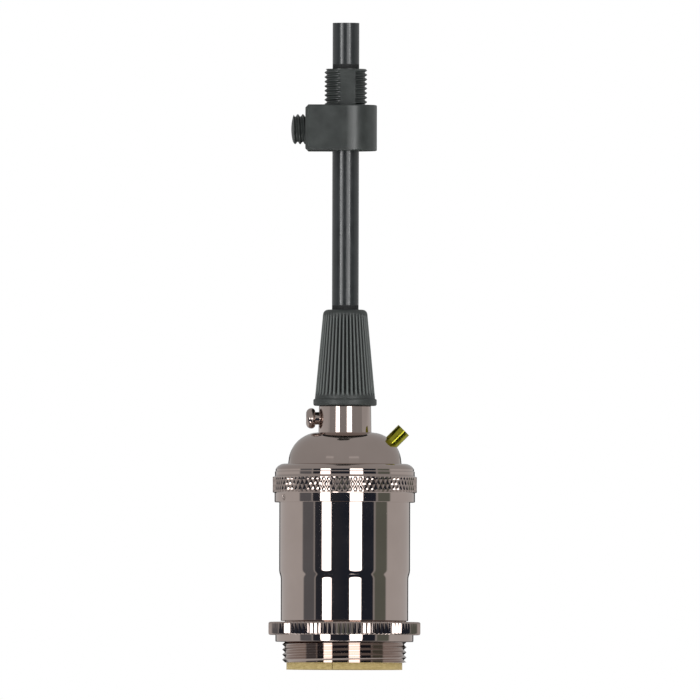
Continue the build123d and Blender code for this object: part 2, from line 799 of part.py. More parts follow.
# The earth strip lies on the insert and turns up against the shell's wall.
earth_leg_outer = (
    sqrt(shell_bore_radius**2 - (earth_strip_width / 2) ** 2) - earth_wall_gap
)
with BuildPart() as earth_strip:
    with BuildSketch(Plane.YZ.offset(-earth_strip_width / 2)):
        with BuildLine():
            Polyline(
                (earth_strip_start, insert_top),
                (earth_leg_outer, insert_top),
                (earth_leg_outer, insert_top + earth_leg_height),
                (earth_leg_outer - earth_strip_thickness, insert_top + earth_leg_height),
                (earth_leg_outer - earth_strip_thickness, earth_top),
                (earth_strip_start, earth_top),
                close=True,
            )
        make_face()
    extrude(amount=earth_strip_width)
    with BuildSketch(Plane.XY.offset(insert_top)):
        with Locations((0, earth_screw_offset)):
            Circle(earth_screw_diameter / 2 + hole_clearance)
    extrude(amount=earth_strip_thickness, mode=Mode.SUBTRACT)
earth_strip.part.label = "earth_strip"
export_step(earth_strip.part, "parts/earth_strip.step")


def slotted_screw(under_head, shank, length, head, head_height):
    """A slotted screw, its head standing on the plane and its shank running below it."""
    with BuildPart() as screw:
        with BuildSketch(under_head):
            Circle(shank / 2)
        extrude(amount=-length)
        with BuildSketch(under_head):
            Circle(head / 2)
        extrude(amount=head_height)
        with BuildSketch(under_head.offset(head_height)):
            Rectangle(screw_slot_width, head)
        extrude(amount=-screw_slot_depth, mode=Mode.SUBTRACT)
    return screw.part


# The terminal screws are pan-headed, with room for the wire below their heads.
terminal_shank = wire_space + terminal_thickness + terminal_screw_length - hole_clearance
for name, side in (("line_terminal_screw", 1), ("neutral_terminal_screw", -1)):
    head_seat = Plane(
        (side * (terminal_face + wire_space), 0, terminal_height),
        x_dir=(0, 1, 0),
        z_dir=(side, 0, 0),
    )
    terminal_screw = slotted_screw(
        head_seat,
        terminal_screw_diameter,
        terminal_shank,
        terminal_screw_head,
        terminal_screw_head_height,
    )
    terminal_screw.label = name
    export_step(terminal_screw, "parts/" + name + ".step")

earth_head_seat = Plane((0, earth_screw_offset, earth_top + wire_space))
earth_terminal_screw = slotted_screw(
    earth_head_seat,
    earth_screw_diameter,
    wire_space + earth_strip_thickness + earth_screw_length - hole_clearance,
    earth_screw_head,
    earth_screw_head_height,
)
earth_terminal_screw.label = "earth_terminal_screw"
export_step(earth_terminal_screw, "parts/earth_terminal_screw.step")

# The three cores leave the stripped jacket and fan out to their terminals. Their points are
# chosen by hand, and each ends above its terminal, where its conductor is bared.
line_end = insert_top + terminal_thickness + lead_end_gap
neutral_end = neutral_top + lead_end_gap
earth_wire_x = earth_screw_diameter / 2 + hole_clearance + conductor_diameter / 2
earth_wire_y = earth_screw_offset - earth_bare_length
earth_wire_z = earth_top + wire_space / 2
earth_end = earth_wire_z + earth_bare_rise
lead_x = lead_start_radius * cos(radians(30))
lead_y = -lead_start_radius * sin(radians(30))
lead_top = cord_tail_end
lead_turn = cord_tail_end - lead_straight
leads = {
    "line": [
        (lead_x, lead_y, lead_top),
        (lead_x, lead_y, lead_turn),
        (*line_core_bend, lead_turn - line_core_drops[0]),
        (wire_x, -wire_y, lead_turn - line_core_drops[1]),
        (wire_x, -wire_y, line_end),
    ],
    "neutral": [
        (-lead_x, lead_y, lead_top),
        (-lead_x, lead_y, lead_turn),
        (*neutral_core_bend, lead_turn - neutral_core_drops[0]),
        (-wire_x, -wire_y, lead_turn - neutral_core_drops[1]),
        (-wire_x, -wire_y, neutral_end),
    ],
    "earth": [
        (0, lead_start_radius, lead_top),
        (0, lead_start_radius, lead_turn),
        (*earth_core_bend, lead_turn - earth_core_drops[0]),
        (earth_wire_x, earth_wire_y, lead_turn - earth_core_drops[1]),
        (earth_wire_x, earth_wire_y, earth_end),
    ],
}
for name, points in leads.items():
    with BuildPart() as core:
        with BuildLine():
            route = FilletPolyline(*points, radius=list(lead_bends))
        with BuildSketch(Plane(route @ 0, z_dir=route % 0)):
            Circle(core_diameter / 2)
        sweep()
    section = pi * core_diameter**2 / 4
    print(name, "core bends", lead_bends, "volume ratio",
          round(core.part.volume / (section * route.length), 4))
    core.part.label = name + "_core"
    export_step(core.part, "parts/" + name + "_core.step")

conductor_tip = terminal_height - lead_tip_below_screw
conductors = {
    "line": [(wire_x, -wire_y, line_end), (wire_x, -wire_y, conductor_tip)],
    "neutral": [(-wire_x, -wire_y, neutral_end), (-wire_x, -wire_y, conductor_tip)],
}
for name, (start, end) in conductors.items():
    with BuildPart() as conductor:
        with BuildSketch(Plane.XY.offset(end[2])):
            with Locations(end[:2]):
                Circle(conductor_diameter / 2)
        extrude(amount=start[2] - end[2])
    conductor.part.label = name + "_conductor"
    export_step(conductor.part, "parts/" + name + "_conductor.step")

with BuildPart() as earth_conductor:
    with BuildLine():
        earth_route = FilletPolyline(
            (earth_wire_x, earth_wire_y, earth_end),
            (earth_wire_x, earth_wire_y, earth_wire_z),
            (earth_wire_x, earth_screw_offset + lead_tip_below_screw, earth_wire_z),
            radius=earth_bend,
        )
    with BuildSketch(Plane(earth_route @ 0, z_dir=earth_route % 0)):
        Circle(conductor_diameter / 2)
    sweep()
earth_conductor.part.label = "earth_conductor"
export_step(earth_conductor.part, "parts/earth_conductor.step")
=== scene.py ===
from math import acos, atan2, cos, degrees, hypot, pi, radians, sin
import bpy
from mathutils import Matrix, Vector


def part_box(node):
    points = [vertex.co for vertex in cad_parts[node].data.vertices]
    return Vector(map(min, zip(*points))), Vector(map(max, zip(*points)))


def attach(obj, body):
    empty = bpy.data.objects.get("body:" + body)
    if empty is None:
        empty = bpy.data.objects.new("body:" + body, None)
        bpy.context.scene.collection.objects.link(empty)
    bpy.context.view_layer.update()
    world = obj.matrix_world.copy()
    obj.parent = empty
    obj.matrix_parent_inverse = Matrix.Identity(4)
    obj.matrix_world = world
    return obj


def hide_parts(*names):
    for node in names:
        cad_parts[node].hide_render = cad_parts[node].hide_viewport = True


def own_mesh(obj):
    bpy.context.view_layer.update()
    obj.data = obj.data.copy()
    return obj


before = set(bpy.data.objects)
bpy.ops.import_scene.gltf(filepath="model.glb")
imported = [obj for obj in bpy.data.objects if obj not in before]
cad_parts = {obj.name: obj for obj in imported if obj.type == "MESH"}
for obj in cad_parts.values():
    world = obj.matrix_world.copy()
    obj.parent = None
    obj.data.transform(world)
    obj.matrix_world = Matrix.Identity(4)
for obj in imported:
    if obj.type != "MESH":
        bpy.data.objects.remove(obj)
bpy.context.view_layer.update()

# The camera looks along +Y through a long lens and a little up, as the photograph does: the
# dome's foot and the ring's edge show as shallow arcs and the rest as lines.
mm = 0.001
view_centre = Vector((1.42, 0, -71.87)) * mm
camera_distance = 8500 * mm
camera_rise = 0.97
camera_roll = 0.15
frame_height = 205.4 * mm
sensor_width = 36
nearest_seen = 10 * mm

camera_data = bpy.data.cameras.new("camera")
camera = bpy.data.objects.new("camera", camera_data)
bpy.context.scene.collection.objects.link(camera)
sight = Vector((0, cos(radians(camera_rise)), sin(radians(camera_rise))))
camera.location = view_centre - sight * camera_distance
camera.rotation_euler = sight.to_track_quat("-Z", "Y").to_euler()
camera.rotation_euler.rotate_axis("Z", radians(camera_roll))
camera_data.sensor_width = sensor_width
camera_data.lens = sensor_width * camera_distance / frame_height
camera_data.clip_start = nearest_seen
bpy.context.scene.camera = camera
bpy.context.scene.view_settings.view_transform = "Standard"

# The studio is white to the camera. Polished metal mirrors black cards with two lit strips in
# front, grey cards at the sides, a dim valance over them, and a pale floor and ceiling. Angles
# are in degrees: across from the camera's side, positive to the right, and up from level.
def grey(value):
    return (value, value, value, 1)


card_black = (0.033, 0.039, 0.053, 1)
card_navy = (0.023, 0.03, 0.046, 1)
card_edge = grey(0.42)
card_dark = (0.157, 0.168, 0.185, 1)
card_olive = (0.157, 0.178, 0.155, 1)
card_pale = grey(0.6)
card_behind = grey(0.03)
cards = [
    (-180, card_behind), (-163, card_behind), (-157, card_pale), (-81, card_pale),
    (-78.5, card_dark), (-57, card_dark), (-55.8, card_edge), (-54.2, card_edge),
    (-53.4, card_black), (-14, card_black), (0, card_navy), (53, card_navy),
    (53.6, card_edge), (55.2, card_edge), (57, card_olive), (79, card_olive),
    (82, card_pale), (157, card_pale), (163, card_behind), (180, card_behind),
]
valance_dim = grey(0.36)
valance_pale = grey(0.5)
valance = [
    (-180, card_behind), (-163, card_behind), (-157, valance_pale), (-72, valance_pale),
    (-70, valance_dim), (80, valance_dim), (82, valance_pale), (157, valance_pale),
    (163, card_behind), (180, card_behind),
]
valance_bottom = 2.0
valance_top = 4.8
ceiling_pale = grey(0.43)
floor_pale = grey(0.6)
floor_top = -60
wall_softness = 0.1
strips = [(-32.2, 8.3), (19.4, 10.6)]
strip_bottom = -4.2
strip_softness = 0.7
strip_strength = 4.8
strip_fade = [(-90, 0.8), (-38, 0.8), (-30, 1), (3.8, 1), (6, 0), (14, 0), (20, 0.05), (26, 0)]
lower_strip_top = -34
lower_strip_softness = 2
sky_strength = 0.92


def add_node(tree, kind, settings=None, inputs=None):
    """One node, with its settings and its inputs: a socket to link, or a value."""
    node = tree.nodes.new("ShaderNode" + kind)
    for name, value in (settings or {}).items():
        if name == "stops":
            stops = node.color_ramp.elements
            while len(stops) < len(value):
                stops.new(1)
            for stop, (position, colour) in zip(stops, value):
                stop.position = position
                stop.color = colour
        else:
            setattr(node, name, value)
    for name, value in (inputs or {}).items():
        if isinstance(value, bpy.types.NodeSocket):
            tree.links.new(value, node.inputs[name])
        else:
            node.inputs[name].default_value = value
    return node


world = bpy.data.worlds.new("studio")
bpy.context.scene.world = world
world.use_nodes = True
world.cycles.sampling_method = "NONE"
sky = world.node_tree
sky.nodes.clear()
direction = add_node(sky, "TexCoord").outputs["Generated"]
axes = add_node(sky, "SeparateXYZ", None, {0: direction}).outputs
toward = add_node(sky, "Math", {"operation": "MULTIPLY"}, {0: axes["Y"], 1: -1}).outputs[0]
across = add_node(sky, "Math", {"operation": "ARCTAN2"}, {0: axes["X"], 1: toward}).outputs[0]
across = add_node(sky, "Math", {"operation": "DEGREES"}, {0: across}).outputs[0]
up = add_node(sky, "Math", {"operation": "ARCSINE"}, {0: axes["Z"]}).outputs[0]
up = add_node(sky, "Math", {"operation": "DEGREES"}, {0: up}).outputs[0]
turn = add_node(sky, "Math", {"operation": "MULTIPLY_ADD"}, {0: across, 1: 1 / 360, 2: 0.5})
rise = add_node(sky, "MapRange", None, {0: up, 1: -90, 2: 90}).outputs[0]
studio = None
for edge, bands in (
    (None, [(-180, floor_pale), (180, floor_pale)]),
    (floor_top, cards),
    (valance_bottom, valance),
    (valance_top, [(-180, ceiling_pale), (180, ceiling_pale)]),
):
    wall = add_node(
        sky,
        "ValToRGB",
        {"stops": [(0.5 + angle / 360, card) for angle, card in bands]},
        {0: turn.outputs[0]},
    ).outputs[0]
    if studio is None:
        studio = wall
        continue
    above = add_node(
        sky, "MapRange", None, {0: up, 1: edge - wall_softness, 2: edge + wall_softness}
    ).outputs[0]
    studio = add_node(
        sky, "Mix", {"data_type": "RGBA"}, {0: above, 6: studio, 7: wall}
    ).outputs[2]
fade = add_node(
    sky,
    "ValToRGB",
    {"stops": [(0.5 + angle / 180, grey(value)) for angle, value in strip_fade]},
    {0: rise},
).outputs[0]
lower = add_node(
    sky, "MapRange", None, {0: up, 1: lower_strip_top, 2: lower_strip_top + lower_strip_softness}
)
for angle, half_width in strips:
    beside = add_node(sky, "Math", {"operation": "SUBTRACT"}, {0: across, 1: angle}).outputs[0]
    below = add_node(sky, "Math", {"operation": "SUBTRACT"}, {0: strip_bottom, 1: up}).outputs[0]
    below = add_node(
        sky, "Math", {"operation": "MULTIPLY"}, {0: below, 1: lower.outputs[0]}
    ).outputs[0]
    beyond = add_node(sky, "Math", {"operation": "MAXIMUM"}, {0: below, 1: 0}).outputs[0]
    offset = add_node(sky, "CombineXYZ", None, {0: beside, 1: beyond}).outputs[0]
    distance = add_node(sky, "VectorMath", {"operation": "LENGTH"}, {0: offset}).outputs[1]
    lit = add_node(
        sky,
        "MapRange",
        None,
        {
            0: distance,
            1: half_width - strip_softness,
            2: half_width + strip_softness,
            3: 1,
            4: 0,
        },
    ).outputs[0]
    lit = add_node(sky, "Math", {"operation": "MULTIPLY"}, {0: lit, 1: fade}).outputs[0]
    studio = add_node(
        sky, "Mix", {"data_type": "RGBA"}, {0: lit, 6: studio, 7: grey(strip_strength)}
    ).outputs[2]
light_path = add_node(sky, "LightPath").outputs
seen = add_node(
    sky, "Background", None, {"Strength": sky_strength, "Color": grey(1)}
).outputs[0]
for ray, shown in (("Is Glossy Ray", studio), ("Is Camera Ray", grey(1))):
    shown = add_node(sky, "Background", None, {"Color": shown}).outputs[0]
    seen = add_node(sky, "MixShader", None, {0: light_path[ray], 1: seen, 2: shown}).outputs[0]
add_node(sky, "OutputWorld", None, {"Surface": seen})

# Two tall lamps, left and right of the camera, draw the soft streaks down the black plastics.
# Only the plastics' gloss takes their light: the metal has the strips for that.
lamp_distance = 1000 * mm
lamp_height = -30 * mm
lamp_size = (110 * mm, 700 * mm)
lamp_power = 3.0
lamp_angles = (-42, 34.5)

satin_pieces = bpy.data.collections.new("satin_pieces")
for angle in lamp_angles:
    lamp_data = bpy.data.lights.new("side_lamp", "AREA")
    lamp_data.shape = "RECTANGLE"
    lamp_data.size, lamp_data.size_y = lamp_size
    lamp_data.energy = lamp_power
    lamp = bpy.data.objects.new("side_lamp", lamp_data)
    bpy.context.scene.collection.objects.link(lamp)
    outward = Vector((sin(radians(angle)), -cos(radians(angle)), 0))
    lamp.location = outward * lamp_distance + Vector((0, 0, lamp_height))
    lamp.rotation_euler = outward.to_track_quat("Z", "Y").to_euler()
    lamp.visible_diffuse = False
    lamp.visible_camera = False
    lamp.light_linking.receiver_collection = satin_pieces

# The floor is a plain painted disc well below the lamp holder, which hangs from its ceiling
# plate. The camera sees it nearly white, and sees through it from below. Metal mirrors the
# studio's floor in its place.
floor_height = -300 * mm
floor_radius = 500 * mm
floor_sides = 128
floor_glow = 0.06


def colour(text):
    """An sRGB hex colour, turned to linear."""
    values = [int(text[i : i + 2], 16) / 255 for i in (1, 3, 5)]
    return (*[v / 12.92 if v <= 0.04045 else ((v + 0.055) / 1.055) ** 2.4 for v in values], 1)


def start_material(name):
    """A material's node tree, its shader and the piece's own coordinates."""
    material = bpy.data.materials.new(name)
    material.use_nodes = True
    tree = material.node_tree
    place = add_node(tree, "TexCoord").outputs["Object"]
    return material, tree, tree.nodes["Principled BSDF"].inputs, place


bpy.ops.object.select_all(action="DESELECT")
bpy.ops.mesh.primitive_circle_add(
    vertices=floor_sides, radius=floor_radius, fill_type="NGON", location=(0, 0, floor_height)
)
floor = bpy.context.object
floor.name = "floor"
floor.visible_glossy = False
painted_floor, tree, shader, place = start_material("painted_board")
camera_ray = add_node(tree, "LightPath").outputs["Is Camera Ray"]
paint = add_node(
    tree, "Mix", {"data_type": "RGBA"}, {0: camera_ray, 6: colour("#e9e8e6"), 7: colour("#ffffff")}
)
tree.links.new(paint.outputs[2], shader["Base Color"])
glow = add_node(tree, "Math", {"operation": "MULTIPLY"}, {0: camera_ray, 1: floor_glow})
tree.links.new(glow.outputs[0], shader["Emission Strength"])
shader["Roughness"].default_value = 0.9
clear = add_node(tree, "BsdfTransparent").outputs[0]
board = tree.nodes["Principled BSDF"].outputs[0]
underside = add_node(tree, "NewGeometry").outputs["Backfacing"]
sides = add_node(tree, "MixShader", None, {0: underside, 1: board, 2: clear})
tree.links.new(sides.outputs[0], tree.nodes["Material Output"].inputs["Surface"])
floor.data.materials.append(painted_floor)

# The cord is a round flex with an extruded black PVC jacket. It hangs straight from the
# ceiling plate down into the strain relief, and is cut square above the grip.
cord_radius = 3.9
relief_top = -60.05
cord_top = 24.1
cord_points = (relief_top, -32, -4, cord_top)
# Heights in mm of the rings of painted shade on the cord, and how tall they are.
painted_shade_bands = (11.3, -59.45)
painted_shade_height = 1.3

route = bpy.data.curves.new("cord_jacket", "CURVE")
route.dimensions = "3D"
route.bevel_depth = cord_radius * mm
route.bevel_resolution = 12
route.use_fill_caps = True
line = route.splines.new("NURBS")
line.points.add(len(cord_points) - 1)
for point, height in zip(line.points, cord_points):
    point.co = (0, 0, height * mm, 1)
line.order_u = 3
line.use_endpoint_u = True
line.resolution_u = 8
cord_jacket = bpy.data.objects.new("cord_jacket", route)
bpy.context.scene.collection.objects.link(cord_jacket)


def dress(node, material):
    """Gives a CAD node its finish."""
    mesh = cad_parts[node].data
    mesh.materials.clear()
    mesh.materials.append(material)


# Extruded PVC is satin, with faint lines drawn along it by the die and a little dust. Rings of
# painted shade, near black and rougher, lie where it enters the grip and the strain relief.
extruded_pvc, tree, shader, place = start_material("extruded_pvc")
drawn = add_node(tree, "Mapping", None, {"Vector": place, "Scale": (1, 1, 0.03)}).outputs[0]
lines = add_node(tree, "TexNoise", None, {"Vector": drawn, "Scale": 900, "Detail": 3})
dust = add_node(tree, "TexNoise", None, {"Vector": place, "Scale": 260, "Detail": 6})
shade = add_node(
    tree,
    "ValToRGB",
    {"stops": [(0.3, colour("#25282a")), (0.75, colour("#2d3133"))]},
    {0: dust.outputs[0]},
)
satin = add_node(tree, "MapRange", None, {0: dust.outputs[0], 1: 0.3, 2: 0.7, 3: 0.19, 4: 0.27})
height = add_node(tree, "SeparateXYZ", None, {0: place}).outputs["Z"]
# Mask of the painted shade rings where the cord meets the grip and the relief.
painted_shade = 0
for middle in painted_shade_bands:
    away = add_node(
        tree, "Math", {"operation": "SUBTRACT"}, {0: height, 1: middle * mm}
    ).outputs[0]
    away = add_node(tree, "Math", {"operation": "ABSOLUTE"}, {0: away}).outputs[0]
    band = add_node(
        tree,
        "MapRange",
        None,
        {0: away, 1: (painted_shade_height / 2 + 0.15) * mm, 2: (painted_shade_height / 2 - 0.1) * mm},
    ).outputs[0]
    painted_shade = add_node(tree, "Math", {"operation": "MAXIMUM"}, {0: painted_shade, 1: band}).outputs[0]
# The painted shade rings are mixed in as a near-black colour, and made rougher below.
shade = add_node(
    tree, "Mix", {"data_type": "RGBA"}, {0: painted_shade, 6: shade.outputs[0], 7: colour("#101214")}
)
tree.links.new(shade.outputs[2], shader["Base Color"])
satin = add_node(
    tree, "Mix", {"data_type": "FLOAT"}, {"Factor": painted_shade, "A": satin.outputs[0], "B": 0.75}
)
tree.links.new(satin.outputs[0], shader["Roughness"])
relief = add_node(
    tree, "Bump", None, {"Height": lines.outputs[0], "Strength": 0.2, "Distance": 0.02 * mm}
)
tree.links.new(relief.outputs[0], shader["Normal"])
route.materials.append(extruded_pvc)
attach(cord_jacket, "holder")
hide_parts("cord")
dress("cord_tail", extruded_pvc)
satin_pieces.objects.link(cord_jacket)

# The cord grip's body is one black nylon moulding. Its block is a D lying on its side, its
# spigot has a moulded thread with two flats, and a set screw crosses the cord's bore.
grip_round = 9.15
grip_reach = 11.85
grip_height = 13.45
grip_end_chamfer = 0.9
grip_rim = 0.35
grip_bore = 4.05
grip_bore_flare = 0.35
spigot_length = 10.6
spigot_crest = 6.22
spigot_root = 5.6
spigot_pitch = 1.33
spigot_first_crest = 0.9
spigot_flat = 5.78
spigot_flat_width = 4.5
spigot_flat_offset = 0.6
spigot_tip = 0.4
spigot_foot = -1
spigot_land_inset = 0.05
spigot_land_drop = 0.2
thread_land = 0.2
flat_cutter = (20, 4, 30)
drill_length = 40
set_screw_height = -7.1
set_screw_hole = 4.45


def start_chain(name):
    """A new piece in edit mode that is one vertex at the origin."""
    bpy.ops.object.select_all(action="DESELECT")
    bpy.ops.mesh.primitive_plane_add(size=mm)
    piece = bpy.context.object
    piece.name = name
    bpy.ops.object.mode_set(mode="EDIT")
    bpy.ops.mesh.select_mode(type="VERT")
    bpy.ops.mesh.merge(type="CENTER")
    return piece


def draw_chain(points):
    """Moves the first vertex to the first point and extrudes it on through the others."""
    place = Vector()
    for count, point in enumerate(points):
        step = Vector(point) * mm - place
        if count == 0:
            bpy.ops.transform.translate(value=step)
        else:
            bpy.ops.mesh.extrude_region_move(TRANSFORM_OT_translate={"value": step})
        place += step


def pick(piece, kind, test):
    """Selects the vertices, edges or faces whose middle and normal, in mm, pass the test."""
    bpy.ops.object.mode_set(mode="EDIT")
    bpy.ops.mesh.select_mode(type=kind)
    bpy.ops.mesh.select_all(action="DESELECT")
    bpy.ops.object.mode_set(mode="OBJECT")
    mesh = piece.data
    places = [vertex.co / mm for vertex in mesh.vertices]
    if kind == "VERT":
        for vertex in mesh.vertices:
            vertex.select = bool(test(places[vertex.index], vertex.normal))
    elif kind == "EDGE":
        for edge in mesh.edges:
            ends = [places[i] for i in edge.vertices]
            edge.select = bool(test((ends[0] + ends[1]) / 2, (ends[1] - ends[0]).normalized()))
    else:
        for face in mesh.polygons:
            face.select = bool(test(face.center / mm, face.normal))
    bpy.ops.object.mode_set(mode="EDIT")


def tidy(piece):
    """Merges doubles and turns the faces outwards."""
    bpy.ops.object.mode_set(mode="EDIT")
    bpy.ops.mesh.select_mode(type="VERT")
    bpy.ops.mesh.select_all(action="SELECT")
    bpy.ops.mesh.remove_doubles(threshold=0.002 * mm)
    bpy.ops.mesh.normals_make_consistent(inside=False)
    bpy.ops.object.mode_set(mode="OBJECT")


def smooth(piece, angle):
    """Smooths all but the sharp edges, with the large faces flat, so that they mirror true."""
    choose(piece)
    bpy.ops.object.shade_smooth_by_angle(angle=radians(angle))
    flat = piece.modifiers.new("flat", "WEIGHTED_NORMAL")
    flat.mode = "FACE_AREA"
    flat.weight = 50
    flat.keep_sharp = True
    bpy.ops.object.modifier_apply(modifier=flat.name)


def choose(piece):
    """Makes the piece the only one selected, and the active one."""
    bpy.ops.object.select_all(action="DESELECT")
    piece.select_set(True)
    bpy.context.view_layer.objects.active = piece


def combine(piece, other, operation):
    """Cuts the other shape out of the piece, or adds it, and takes the other away."""
    choose(piece)
    step = piece.modifiers.new("combine", "BOOLEAN")
    step.operation = operation
    step.object = other
    step.solver = "EXACT"
    bpy.ops.object.modifier_apply(modifier=step.name)
    bpy.data.objects.remove(other)


def bevel_edges(piece, width, segments, angle=40):
    """Rounds every edge that is sharper than the angle."""
    choose(piece)
    step = piece.modifiers.new("bevel", "BEVEL")
    step.width = width * mm
    step.segments = segments
    step.limit_method = "ANGLE"
    step.angle_limit = radians(angle)
    step.use_clamp_overlap = True
    bpy.ops.object.modifier_apply(modifier=step.name)


def add_rod(radius, length, middle, along=(0, 0, 1), sides=96, tip=None):
    """A round rod or cone on an axis, with its place in its mesh."""
    bpy.ops.object.select_all(action="DESELECT")
    bpy.ops.mesh.primitive_cone_add(
        vertices=sides,
        radius1=radius * mm,
        radius2=(radius if tip is None else tip) * mm,
        depth=length * mm,
        location=Vector(middle) * mm,
        rotation=Vector(along).to_track_quat("Z", "Y").to_euler(),
    )
    bpy.ops.object.transform_apply(location=True, rotation=True, scale=True)
    return bpy.context.object


def add_block(size, middle):
    """A block, with its place in its mesh."""
    bpy.ops.object.select_all(action="DESELECT")
    bpy.ops.mesh.primitive_cube_add(size=mm, location=Vector(middle) * mm)
    block = bpy.context.object
    block.scale = size
    bpy.ops.object.transform_apply(location=True, rotation=True, scale=True)
    return block


def spin_chain(piece, steps):
    """Spins the whole chain round the cord's axis."""
    bpy.ops.object.mode_set(mode="EDIT")
    bpy.ops.mesh.select_mode(type="VERT")
    bpy.ops.mesh.select_all(action="SELECT")
    bpy.ops.mesh.remove_doubles(threshold=0.002 * mm)
    bpy.ops.mesh.select_all(action="SELECT")
    bpy.ops.mesh.spin(steps=steps, angle=radians(360), center=(0, 0, 0), axis=(0, 0, 1))
    tidy(piece)


def wind(piece, pitch, turns, steps):
    """Winds a drawn chain up Z as a screw, and stays in edit mode."""
    bpy.ops.object.mode_set(mode="OBJECT")
    winding = piece.modifiers.new("winding", "SCREW")
    winding.axis = "Z"
    winding.angle = radians(360)
    winding.screw_offset = pitch * mm
    winding.iterations = turns
    winding.steps = steps
    winding.render_steps = steps
    winding.use_smooth_shade = True
    bpy.ops.object.modifier_apply(modifier=winding.name)
    bpy.ops.object.mode_set(mode="EDIT")
    bpy.ops.mesh.select_all(action="SELECT")
    bpy.ops.mesh.remove_doubles(threshold=0.002 * mm)


def trim(bottom, top, fill=False):
    """Cuts off what lies above and below two level planes, and fills the cuts if asked."""
    for height, side in ((top, 1), (bottom, -1)):
        bpy.ops.mesh.select_all(action="SELECT")
        bpy.ops.mesh.bisect(
            plane_co=(0, 0, height * mm),
            plane_no=(0, 0, side),
            use_fill=fill,
            clear_outer=True,
            threshold=0.001 * mm,
        )


def wind_thread(name, crest, root, pitch, ends, crest_height, ridge, steps):
    """A closed ridge, in shares of depth and pitch, wound up Z and cut off flat."""
    bottom, top = ends
    turns = int((top - bottom) / pitch) + 4
    start = crest_height - pitch / 2
    while start > bottom - pitch:
        start -= pitch
    thread = start_chain(name)
    draw_chain([(root + (crest - root) * out, 0, start + pitch * rise) for out, rise in ridge])
    wind(thread, pitch, turns, steps)
    trim(bottom, top, True)
    return thread


def cut_thread(name, crest, root, pitch, ends, crest_height, chamfers, steps=96):
    """A solid thread with flat crests and roots, and a chamfer at either end."""
    bottom, top = ends
    half = thread_land / 2
    ridge = [(0, 0), (0, half), (1, 0.5 - half), (1, 0.5 + half), (0, 1 - half), (0, 1)]
    thread = wind_thread(name, crest, root, pitch, ends, crest_height, ridge, steps)
    tidy(thread)
    rim = crest + 0.02
    blank = start_chain("blank")
    draw_chain(
        [
            (0, 0, bottom - 0.01),
            (rim - chamfers[0], 0, bottom - 0.01),
            (rim, 0, bottom + chamfers[0]),
            (rim, 0, top - chamfers[1]),
            (rim - chamfers[1], 0, top + 0.01),
            (0, 0, top + 0.01),
        ]
    )
    spin_chain(blank, steps)
    combine(thread, blank, "INTERSECT")
    return thread


grip_moulding = start_chain("grip_moulding")
draw_chain([(0, grip_round, -grip_height)])
bpy.ops.mesh.spin(steps=64, angle=radians(180), center=(0, 0, -grip_height * mm), axis=(0, 0, 1))
pick(grip_moulding, "VERT", lambda p, n: p.y < 0.01 - grip_round)
for step in ((-grip_reach, 0, 0), (0, 2 * grip_round, 0), (grip_reach, 0, 0)):
    bpy.ops.mesh.extrude_region_move(TRANSFORM_OT_translate={"value": Vector(step) * mm})
bpy.ops.mesh.select_all(action="SELECT")
bpy.ops.mesh.remove_doubles(threshold=0.002 * mm)
bpy.ops.mesh.select_all(action="SELECT")
bpy.ops.mesh.edge_face_add()
bpy.ops.mesh.extrude_region_move(TRANSFORM_OT_translate={"value": (0, 0, grip_height * mm)})
tidy(grip_moulding)
pick(
    grip_moulding,
    "EDGE",
    lambda p, along: p.x < -grip_reach + 0.01 and max(abs(along.z), abs(along.y)) > 0.9,
)
bpy.ops.mesh.bevel(offset=grip_end_chamfer * mm, segments=1)
bpy.ops.object.mode_set(mode="OBJECT")
bevel_edges(grip_moulding, grip_rim, 4, 50)

spigot = cut_thread(
    "spigot",
    spigot_crest,
    spigot_root,
    spigot_pitch,
    (spigot_foot, spigot_length),
    spigot_first_crest,
    (0, spigot_tip),
)
for side in (-1, 1):
    cutter = add_block(flat_cutter, (0, side * (spigot_flat + flat_cutter[1] / 2), 5))
    combine(spigot, cutter, "DIFFERENCE")
land_size = (spigot_flat_width, 2 * spigot_flat - spigot_land_inset, spigot_length)
land_middle = (spigot_flat_offset, 0, spigot_length / 2 - spigot_land_drop)
combine(spigot, add_block(land_size, land_middle), "UNION")
combine(grip_moulding, spigot, "UNION")
combine(grip_moulding, add_rod(grip_bore, drill_length, (0, 0, 0)), "DIFFERENCE")
flare = add_rod(
    grip_bore + grip_bore_flare,
    2 * grip_bore_flare,
    (0, 0, -grip_height),
    tip=grip_bore - grip_bore_flare,
)
combine(grip_moulding, flare, "DIFFERENCE")
set_screw_bore = add_rod(set_screw_hole, 12, (-6.1, 0, set_screw_height), (1, 0, 0))
combine(grip_moulding, set_screw_bore, "DIFFERENCE")
tidy(grip_moulding)
smooth(grip_moulding, 30)

# Moulded nylon is a satin black with a fine spark-eroded grain.
moulded_nylon, tree, shader, place = start_material("moulded_nylon")
grain = add_node(tree, "TexNoise", None, {"Vector": place, "Scale": 5200, "Detail": 3})
cloud = add_node(tree, "TexNoise", None, {"Vector": place, "Scale": 220, "Detail": 5})
shade = add_node(
    tree,
    "ValToRGB",
    {"stops": [(0.3, colour("#2b2f2e")), (0.75, colour("#3d4240"))]},
    {0: cloud.outputs[0]},
)
tree.links.new(shade.outputs[0], shader["Base Color"])
satin = add_node(tree, "MapRange", None, {0: cloud.outputs[0], 1: 0.3, 2: 0.7, 3: 0.3, 4: 0.38})
tree.links.new(satin.outputs[0], shader["Roughness"])
relief = add_node(
    tree, "Bump", None, {"Height": grain.outputs[0], "Strength": 0.35, "Distance": 0.02 * mm}
)
tree.links.new(relief.outputs[0], shader["Normal"])
grip_moulding.data.materials.append(moulded_nylon)
satin_pieces.objects.link(grip_moulding)
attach(grip_moulding, "cord_grip")
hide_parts("cord_grip_body")

